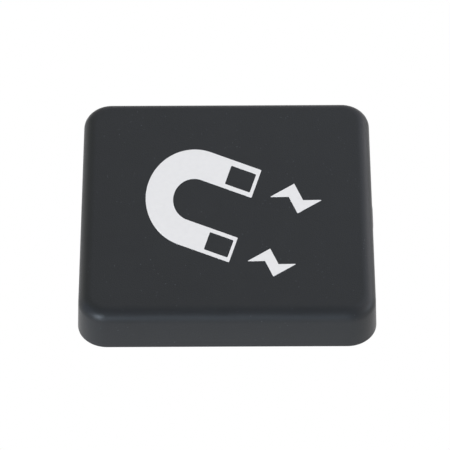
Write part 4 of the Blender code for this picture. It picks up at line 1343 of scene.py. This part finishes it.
def core():
    """Ferrite disc with a round pole up through the spool's hub, its edges ground off."""
    low, high, _ = span("ferrite_core")
    disc_top, edge = low.z + CORE_DISC, 0.2 * MM
    dimple, dimple_slope, dimple_depth = 2 * MM, 0.2 * MM, 0.3 * MM
    profile = [
        (high.x - edge, low.z),
        (high.x, low.z + edge),
        (high.x, disc_top - edge),
        (high.x - edge, disc_top),
        (POLE_RADIUS + edge, disc_top),
        (POLE_RADIUS, disc_top + edge),
        (POLE_RADIUS, high.z - edge),
        (POLE_RADIUS - edge, high.z),
        (dimple + dimple_slope, high.z),
        (dimple, high.z - dimple_depth),
    ]
    return turned("pole_and_disc", profile, 96)


def wound(name, inner, outer, low, high, turns, levels, facets):
    """Wire wound in flat spirals between two radii and two heights, with a hair between its turns."""
    wire = min((high - low) / levels, (outer - inner) / turns) / 2
    return WINDING.made(
        name,
        bpy.data.meshes.new(name),
        Inner=inner + wire,
        Outer=outer - wire,
        Turns=float(turns) - 1,
        Wire=0.985 * wire,
        Levels=levels,
        Rise=(high - low) / levels,
        Low=low + (high - low) / levels / 2,
        Facets=facets,
        Finish=FINISHES["copper_wire"],
    )


def make_coil():
    hub = POLE_RADIUS + SEAT_GAP + HUB_WALL + SEAT_GAP
    low_z, high_z = WINDING_LOW.z, WINDING_HIGH.z
    wire = wound("wound_wire", hub, WINDING_HIGH.x, low_z, high_z, COIL_TURNS, COIL_LEVELS, 64)
    node_piece("bobbin_nylon", "bobbin", bobbin(), "coil_bobbin")
    node_piece("ferrite", "pole_and_disc", core(), "ferrite_core")
    node_piece("copper_wire", "wound_wire", wire, "coil_winding", sharp=60)


# Board and its parts


def stands(node, turn):
    """Where a part stands on the board: the middle of its node, at its foot."""
    low, _, middle = span(node)
    return (middle.x, middle.y, low.z, turn)


TO_FRONT = 3 * QUARTER
TRANSISTORS = numbered("bridge_transistor")
CAPACITORS = numbered("storage_capacitor")
SMALL_CHIPS = [*(stands(node, TO_FRONT) for node in TRANSISTORS), stands("gate_driver_chip", 0)]
LONG_CHIPS = [stands("controller_chip", TO_FRONT)]
CANS = [stands(node, 2 * QUARTER) for node in CAPACITORS]


def chip_shape(length, width, height):
    """Moulded package that narrows up and down from its parting line, with a mark at its first lead."""
    foot, draft, edge, corner = 0.15 * MM, 0.12 * MM, 0.06 * MM, 0.15 * MM
    line, line_width = PARTING_LINE * height, 0.04 * MM
    levels = []
    for inset, z in (
        (draft + edge, foot),
        (draft, foot + edge),
        (0, line),
        (0, line + line_width),
        (draft, height - edge),
        (draft + edge, height),
    ):
        levels.append((rounded_rectangle(width / 2 - inset, length / 2 - inset, corner, 3), z))
    spot = (SPOT_INSET - width / 2, length / 2 - SPOT_INSET)
    spot_levels = ((SPOT_RADIUS, height - 0.08 * MM), (SPOT_RADIUS + 0.04 * MM, height + 0.1 * MM))
    dimple = stacked("dimple", [(circle(radius, 20), z) for radius, z in spot_levels], spot)
    return combined(stacked("chip", levels), ("DIFFERENCE", dimple))


def lead_shape(width, height, pin_width):
    """Gull-wing lead that leaves the package on +X and bends down to the board."""
    sheet = 0.16 * MM
    inside, shoulder, tip = width / 2 - 0.2 * MM, width / 2 + 0.4 * MM, width / 2 + 1 * MM
    line = PARTING_LINE * height + sheet / 2
    path = [(inside, line), (shoulder, line), (shoulder + 0.12 * MM, sheet), (tip, sheet)]
    path += [(tip, 0), (shoulder, 0), (shoulder - 0.16 * MM, line - sheet), (inside, line - sheet)]
    outline = softened(path, 0.09 * MM, 3)
    return loft("lead", [[(x, side, z) for x, z in outline] for side in (-pin_width / 2, pin_width / 2)])


def lead_places(places, pins, pitch):
    rows = []
    for place in places:
        for i in range(pins):
            y = (i - (pins - 1) / 2) * pitch
            rows.append(placed(place, 0, y))
            x, y, z, turn = placed(place, 0, y)
            rows.append((x, y, z, turn + math.pi))
    return rows


def pad_shape(reach, length, width):
    """Fillet of solder under one lead's foot."""
    film, short, sink = 0.03 * MM, 0.01 * MM, PART_Z - BOARD_HIGH.z
    outline = rounded_rectangle(length / 2, width / 2, 0.4 * width, 3)
    top = rounded_rectangle(length / 2 - 0.15 * MM, width / 2 - 0.06 * MM, 0.3 * width, 3)
    levels = [(outline, -sink), (outline, film - sink), (top, -short)]
    return stacked("pad", levels, (reach, 0))


def make_chips():
    small = (*TRANSISTORS, "gate_driver_chip")
    for name, nodes, places, size, pins, pitch, pin_width in (
        ("small_chips", small, SMALL_CHIPS, SMALL_CHIP, 4, 1.27 * MM, 0.42 * MM),
        ("long_chip", ("controller_chip",), LONG_CHIPS, LONG_CHIP, 10, 0.65 * MM, 0.24 * MM),
    ):
        _, width, height = size
        body = copies(name, chip_shape(*size), places, FINISHES["chip_epoxy"])
        node_piece("chip_epoxy", name, body, *nodes)
        rows = lead_places(places, pins, pitch)
        steel = FINISHES["socket_steel"]
        leads = copies(name + "_leads", lead_shape(width, height, pin_width), rows, steel)
        piece(name + "_leads", leads, steel, slot="socket_steel", sharp=50)
        reach = width / 2 + 0.7 * MM
        pads = copies(name + "_solder", pad_shape(reach, 1.1 * MM, 1.3 * pin_width), rows, SOLDER)
        piece(name + "_solder", pads, SOLDER)


def can_shape():
    """Aluminium can with a rolled waist, and a scored vent in its top."""
    low, high, _ = span(CAPACITORS[0])
    height, start = high.z - low.z, 0.55 * MM
    profile = [(CAN_RADIUS - 0.3 * MM, start), (CAN_RADIUS, start + 0.2 * MM), (CAN_RADIUS, 1.35 * MM)]
    waist_z, waist, waist_half, waist_steps = 1.85 * MM, 0.3 * MM, 0.4 * MM, 4
    for step in range(-waist_steps, waist_steps + 1):
        t = step / waist_steps
        inset = waist * (1 + math.cos(math.pi * t)) / 2
        profile.append((CAN_RADIUS - inset, waist_z + waist_half * t))
    rounding, steps = 0.45 * MM, 5
    for step in range(steps + 1):
        angle = QUARTER * step / steps
        inset, drop = rounding * (1 - math.cos(angle)), rounding * (1 - math.sin(angle))
        profile.append((CAN_RADIUS - inset, height - drop))
    star = []
    arms, arm_reach, arm_half_angle, notch = 6, 2 * MM, 0.04, 0.16 * MM
    points = ((arm_reach, -arm_half_angle), (arm_reach, arm_half_angle), (notch, math.pi / arms))
    for arm in range(arms):
        star += [at_bearing(radius, FULL * arm / arms + angle) for radius, angle in points]
    vent = stacked("vent", [(star, height - 0.12 * MM), (star, height + 0.2 * MM)])
    return combined(turned("can", profile, 64), ("DIFFERENCE", vent))


def edged(name, corners, radius, height):
    """Upright block with cut or rounded corners, drawn in a little at its foot and top."""
    share, edge = 0.97, 0.1 * MM
    outline = softened(corners, radius, 3)
    shy = [(x * share, y * share) for x, y in outline]
    return stacked(name, [(shy, 0), (outline, edge), (outline, height - edge), (shy, height)])


def can_base_shape():
    """Moulded base with two cut corners, and a round seat for the can."""
    half, cut, gap = CAN_BASE_HALF, 1.2 * MM, 0.04 * MM
    corners = (
        (half, -half), (half, half), (cut - half, half), (-half, half - cut), (-half, cut - half),
        (cut - half, -half),
    )
    seat = turned("seat", [(CAN_RADIUS + gap, 0.5 * MM), (CAN_RADIUS + gap, 2 * MM)], 64)
    return combined(edged("can_base", corners, 0.25 * MM, 1 * MM), ("DIFFERENCE", seat))


def polarity_shape():
    """Printed segment on top of a can, over its negative lead."""
    radius, chord, steps = 2.62 * MM, 1.25 * MM, 16
    half_angle = math.acos(chord / radius)
    angles = [math.pi - half_angle + 2 * half_angle * step / steps for step in range(steps + 1)]
    segment = [at_bearing(radius, angle) for angle in angles]
    return stacked("polarity", [(segment, 0), (segment, 0.02 * MM)])


def make_cans():
    height = span(CAPACITORS[0])[1].z - PART_Z
    cans = copies("capacitor_cans", can_shape(), CANS, FINISHES["capacitor_aluminium"])
    node_piece("capacitor_aluminium", "capacitor_cans", cans, *CAPACITORS)
    bases = copies("capacitor_bases", can_base_shape(), CANS, FINISHES["black_moulding"])
    node_piece("black_moulding", "capacitor_bases", bases, *CAPACITORS)
    tops = [placed(place, 0, 0, height - 0.01 * MM) for place in CANS]
    piece("capacitor_marks", copies("capacitor_marks", polarity_shape(), tops, BLACK_INK), BLACK_INK)
    feet = [placed(place, side * 2.75 * MM, 0) for place in CANS for side in (-1, 1)]
    pads = copies("capacitor_solder", pad_shape(0, 2.2 * MM, 1.2 * MM), feet, SOLDER)
    piece("capacitor_solder", pads, SOLDER)


def capped_part(slot, name, node, cap=0.5 * MM):
    """Chip part with tinned caps on its two ends; its length lies along its longer side."""
    low, high, middle = span(node)
    size = high - low
    length, width = max(size.x, size.y), min(size.x, size.y)
    overlap, proud = 0.2 * cap, 0.03 * MM
    body_length = length - 2 * (cap - overlap)
    body = soft_block(name, body_length, width - 2 * proud, size.z - 2 * proud, 0.06 * MM)
    moved(body, (0, 0, proud))
    ends = bmesh.new()
    for side in (-1, 1):
        end = soft_block("end", cap, width, size.z, 0.08 * MM)
        moved(end, (side * (length - cap) / 2, 0, 0))
        ends.from_mesh(end)
    caps = mesh_of(name + "_ends", ends)
    turn = Matrix.Rotation(QUARTER, 4, "Z") if size.y > size.x else None
    foot = (middle.x, middle.y, low.z)
    node_piece(slot, name, moved(body, foot, turn), node)
    piece(name + "_ends", moved(caps, foot, turn), SOLDER)


def make_inductor():
    """Shielded inductor: a drum of wire, open at the top, in an eight-sided ferrite block."""
    low, high, middle = span("boost_inductor")
    half, height = (high.x - low.x) / 2, high.z - low.z
    cut, wall, drum, edge = 1.1 * MM, 0.6 * MM, half - 1.2 * MM, 0.1 * MM
    hub, bore = drum - 0.7 * MM, half - wall
    corners = (
        (half, half - cut), (half - cut, half), (cut - half, half), (-half, half - cut), (-half, cut - half),
        (cut - half, -half), (half - cut, -half), (half, cut - half),
    )
    bore_profile = ((bore, height - 2.2 * MM), (bore, height - edge), (bore + edge, height + edge))
    drum_profile = (
        (hub, height - 2.4 * MM), (hub, height - 0.7 * MM), (drum, height - 0.6 * MM),
        (drum, height - 0.3 * MM), (drum - edge, height - 0.2 * MM),
    )
    mesh = combined(
        edged("inductor", corners, 0.2 * MM, height),
        ("DIFFERENCE", turned("bore", bore_profile, 64)),
        ("UNION", turned("drum", drum_profile, 64)),
    )
    foot = (middle.x, middle.y, low.z)
    node_piece("ferrite", "inductor", moved(mesh, foot), "boost_inductor")
    wire_low, wire_high = height - 2.15 * MM, height - 0.75 * MM
    wire = wound("inductor_wire", drum - 0.65 * MM, bore - 0.08 * MM, wire_low, wire_high, 3, 4, 40)
    piece("inductor_wire", moved(wire, foot), FINISHES["copper_wire"], slot="copper_wire", sharp=60)


def make_diode():
    low, high, middle = span("rectifier_diode")
    size, lift, film = high - low, 0.1 * MM, 0.01 * MM
    body = soft_block("diode", size.x - lift, size.y - 0.7 * MM, size.z - lift, 0.15 * MM)
    foot = Vector((middle.x, middle.y, low.z))
    band = soft_block("diode_band", size.x - 0.3 * MM, 0.45 * MM, 0.03 * MM, film)
    node_piece("chip_epoxy", "diode", moved(body, foot + Vector((0, 0, lift))), "rectifier_diode")
    piece("diode_band", moved(band, foot + Vector((0, 1.2 * MM, size.z - film))), INK)
    reach, rise, sheet, half_width = 1.2 * MM, 1.1 * MM, 0.25 * MM, 1 * MM
    upright = 0.9 * MM
    path = ((0, 0), (reach, 0), (reach, rise), (upright, rise), (upright, sheet), (0, sheet))
    strap = softened(path, 0.1 * MM, 3)
    shape = loft("strap", [[(x, side, z) for x, z in strap] for side in (-half_width, half_width)])
    out = size.y / 2 - reach
    places = [(foot.x, foot.y + side * out, foot.z, side * QUARTER) for side in (-1, 1)]
    steel = FINISHES["socket_steel"]
    piece("diode_leads", copies("diode_leads", shape, places, steel), steel, slot="socket_steel")


def connector():
    """Two-way socket for the coil's plug, open towards the front of the pad."""
    low, high, middle = span("lead_header")
    size, wall = high - low, 0.6 * MM
    body = soft_block("coil_socket", size.x, size.y, size.z, 0.1 * MM)
    inside = soft_block("inside", size.x - 2 * wall, size.y, size.z - 2 * wall, 0.05 * MM)
    moved(inside, (0, -wall, wall))
    return moved(combined(body, ("DIFFERENCE", inside)), (middle.x, middle.y, low.z))


def plug():
    """Plug with two ribs along its top."""
    low, high, middle = span("lead_plug")
    size, rib_rise = high - low, 0.1 * MM
    body = soft_block("coil_plug", size.x, size.y, size.z - rib_rise, 0.1 * MM)
    outline = rounded_rectangle(0.25 * MM, size.y / 2 - 0.3 * MM, 0.2 * MM, 4)
    ribs = bmesh.new()
    for side in (-1, 1):
        skin(ribs, [raised(outline, z, (side * size.x / 4, 0)) for z in (size.z / 2, size.z)])
    return moved(combined(body, ("UNION", mesh_of("ribs", ribs))), (middle.x, middle.y, low.z))


def board_blank():
    """Board with its corners cut off clear of the screw posts, and a hole under each ear."""
    half = BOARD_HIGH.x
    cut = 2 * POST_AT - math.sqrt(2) * (POST_RADIUS + EDGE_GAP) - half
    corners = []
    for turn in range(4):
        c, s = round(math.cos(QUARTER * turn)), round(math.sin(QUARTER * turn))
        corners += [(x * c - y * s, x * s + y * c) for x, y in ((half, cut), (cut, half))]
    outline = softened(corners, 0.5 * MM, 4)
    blank = stacked("board_blank", [(outline, BOARD_LOW.z), (outline, BOARD_HIGH.z)])
    holes = prisms("holes", circle(PILOT_RADIUS, 32), BOARD_LOW.z - OVERRUN, PART_Z, corner_places(EAR_AT))
    return combined(blank, ("DIFFERENCE", holes))


def arc(radius, first, last, steps=24):
    """Points round the coil between two bearings in degrees."""
    points = []
    for step in range(steps + 1):
        points.append(at_bearing(radius, math.radians(first + (last - first) * step / steps)))
    return points


# Traces in millimetres: corners of the wide ones, and radius, first and last bearing of the fine ones
WIDE_TRACES = (
    ((-4.6, 31.5), (-7.2, 31.5)),
    ((-10.8, 30.6), (-19, 30.6), (-24, 30.6), (-30.6, 24), (-30.6, 15)),
    ((15.8, 30.6), (17.8, 30.6)),
    ((20.6, 30.6), (24, 30.6), (30.6, 24), (30.6, 12)),
    ((-30.6, -14.6), (-30.6, -16)),
    ((-30.6, -22), (-30.6, -24.5), (-24.5, -30.6), (-20.8, -30.6)),
    ((20.8, -30.6), (24.5, -30.6), (30.6, -24.5), (30.6, -17)),
)
FINE_ARCS = (
    (26.35, -88, -12), (26.85, -86, -14), (27.35, -84, -16),
    (26.35, 10, 66), (26.85, 12, 68),
    (26.35, 112, 168), (26.85, 110, 166),
    (26.35, 190, 262), (26.85, 192, 264),
)
FRAMED = (
    *TRANSISTORS, "gate_driver_chip", "controller_chip", "boost_inductor", "rectifier_diode", "input_fuse",
    "input_capacitor_1", "input_capacitor_2", "sense_resistor", "lead_header", *CAPACITORS,
)


def legend():
    """Printed frames round the parts, in millimetres."""
    gap, overlap = 0.3, 0.05
    frames = []
    for node in FRAMED:
        low, high, _ = span(node)
        left, front, right, back = (value / MM for value in (*low.xy, *high.xy))
        left, front, right, back = left - gap, front - gap, right + gap, back + gap
        closing = (left, front - overlap)
        frames.append([(left, front), (right, front), (right, back), (left, back), closing])
    return frames


def paths(routes, z):
    """Mesh of open polylines at one height, sized in millimetres."""
    points, edges = [], []
    for route in routes:
        start = len(points)
        points += [(x * MM, y * MM, z) for x, y in route]
        edges += [(i, i + 1) for i in range(start, len(points) - 1)]
    mesh = bpy.data.meshes.new("paths")
    mesh.from_pydata(points, edges, [])
    return mesh


def flat_ring(name, inner, outer, thickness, steps):
    """Flat washer that lies on z = 0."""
    section = ((inner, 0), (outer, 0), (outer, thickness), (inner, thickness))
    return ring(name, section, steps)


def make_traces(arcs):
    z = BOARD_HIGH.z + COPPER_THICKNESS / 2
    for name, routes, width in (("power_traces", WIDE_TRACES, 1.6 * MM), ("signal_traces", arcs, 0.2 * MM)):
        sizes = {"Width": width, "Thickness": COPPER_THICKNESS}
        mesh = STRIPS.made(name, paths(routes, z), Finish=TRACE, **sizes)
        piece(name, mesh, TRACE, slot="board_laminate")
    frames = paths(legend(), BOARD_HIGH.z + COPPER_THICKNESS)
    sizes = {"Width": 0.12 * MM, "Thickness": COPPER_THICKNESS}
    piece("board_legend", STRIPS.made("board_legend", frames, Finish=INK, **sizes), INK)


def make_board():
    node_piece("board_laminate", "board_blank", board_blank(), "circuit_board")
    arcs = [arc(*row) for row in FINE_ARCS]
    make_traces(arcs)
    ends = [route[i] for route in arcs for i in (0, -1)]
    rows = [(x, y) for x in (-30.6, 30.6) for y in range(17, 24)] + [(x, -27.6) for x in range(-6, 7)]
    eyelet = flat_ring("via", 0.18 * MM, 0.34 * MM, 0.05 * MM, 14)
    places = [(x * MM, y * MM, BOARD_HIGH.z) for x, y in ends + rows]
    piece("vias", copies("vias", eyelet, places, GOLD), GOLD)
    land = flat_ring("land", PILOT_RADIUS + 0.05 * MM, 2.4 * MM, LAND_THICKNESS, 40)
    places = [(x, y, BOARD_LOW.z - LAND_THICKNESS) for x, y in corner_places(EAR_AT)]
    piece("screw_lands", copies("screw_lands", land, places, SOLDER), SOLDER)


def make_parts():
    make_chips()
    make_cans()
    capped_part("board_laminate", "fuse", "input_fuse", 0.7 * MM)
    capped_part("chip_ceramic", "ceramic_1", "input_capacitor_1")
    capped_part("chip_ceramic", "ceramic_2", "input_capacitor_2")
    capped_part("chip_ceramic", "shunt", "sense_resistor", 0.8 * MM)
    make_inductor()
    make_diode()
    node_piece("connector_nylon", "coil_socket", connector(), "lead_header")
    node_piece("connector_nylon", "coil_plug", plug(), "lead_plug")


make_cover()
make_button_and_light()
make_base()
make_socket()
make_coil()
make_board()
make_parts()


# What keeps its own shape takes its finish


def finish_nodes():
    for row in frame["record"]["subparts"]:
        node = NODES[row["node"]]
        node.data.materials.clear()
        node.data.materials.append(FINISHES[row["material_slot"]])


finish_nodes()


# Studio


# Bearing from +Y towards +X, height, sharpness, and red, green and blue strength.
# Directions and sharpness were chosen one by one. The strengths of the rows without a note are a program's
# least-squares fit, rounded; the noted ones were set or changed one by one.
SOFT_LIGHTS = (
    (0, 15, 8, (0.8, 0.8, 0.9)),
    (45, 45, 8, (2.0, 2.2, 2.5)),  # set one by one
    (45, 10, 24, (1.8, 1.6, 1.6)),
    (60, 4, 24, (2.4, 2.8, 3.1)),
    (90, 4, 24, (2.8, 3.8, 4.6)),
    (90, 20, 8, (2.4, 2.1, 2.1)),
    (180, -2, 24, (1.0, 1.7, 2.5)),  # set one by one
    (-135, 20, 8, (0.5, 0.5, 0.5)),  # set one by one
    (-150, 16, 60, (34, 39, 45)),  # set one by one
    (-90, 20, 8, (0.6, 0.7, 1.1)),
    (-60, 4, 24, (1.8, 1.7, 1.3)),
    (-45, 45, 8, (0.4, 0.4, 0.2)),
)


class Sky(Graph):
    """The studio's walls and roof: the sum of soft round lights."""

    def __init__(self, world):
        super().__init__(world.node_tree)
        self.way = self.add("ShaderNodeTexCoord", output="Generated")

    def vector(self, operation, inputs, **more):
        return self.add("ShaderNodeVectorMath", {"operation": operation}, inputs, **more)

    def light(self, around, up, sharpness, colour):
        around, up = math.radians(around), math.radians(up)
        towards = (math.cos(up) * math.sin(around), math.cos(up) * math.cos(around), math.sin(up))
        facing = self.vector("DOT_PRODUCT", [self.way, towards], output="Value")
        falloff = facing.or_more(0) ** sharpness
        return self.vector("SCALE", {"Vector": colour, "Scale": falloff})

    def total(self, lights):
        whole = lights[0]
        for light in lights[1:]:
            whole = self.vector("ADD", [whole, light])
        return whole


def studio():
    radius, depth = 3, 0.02
    floor = loft("floor", [raised(circle(radius, 64), z) for z in (-depth, 0)])
    ground = Finish("pale_floor", (0, 0, 0), 1, Specular_IOR_Level=0)
    ground.take("Emission Color", (1, 1, 1))
    ground.take("Emission Strength", 1)
    floor.materials.append(ground.material)
    temporary(floor)
    world = bpy.data.worlds.new("studio")
    bpy.context.scene.world = world
    world.use_nodes = True
    sky = Sky(world)
    whole = sky.total([sky.light(*row) for row in SOFT_LIGHTS])
    sky.feed(world.node_tree.nodes["Background"].inputs["Color"], whole)


def camera():
    lens = bpy.data.cameras.new("camera")
    lens.sensor_width = 36
    lens.lens = LENS
    lens.clip_end = 20
    view = bpy.data.objects.new("camera", lens)
    bpy.context.scene.collection.objects.link(view)
    view.location = CAMERA_AT
    turn = (CAMERA_AIM - CAMERA_AT).to_track_quat("-Z", "Y").to_matrix()
    roll = Matrix.Rotation(CAMERA_ROLL, 3, "Z")
    view.rotation_euler = (turn @ roll).to_euler()
    bpy.context.scene.camera = view


studio()
camera()
bpy.context.scene.view_settings.view_transform = "Standard"
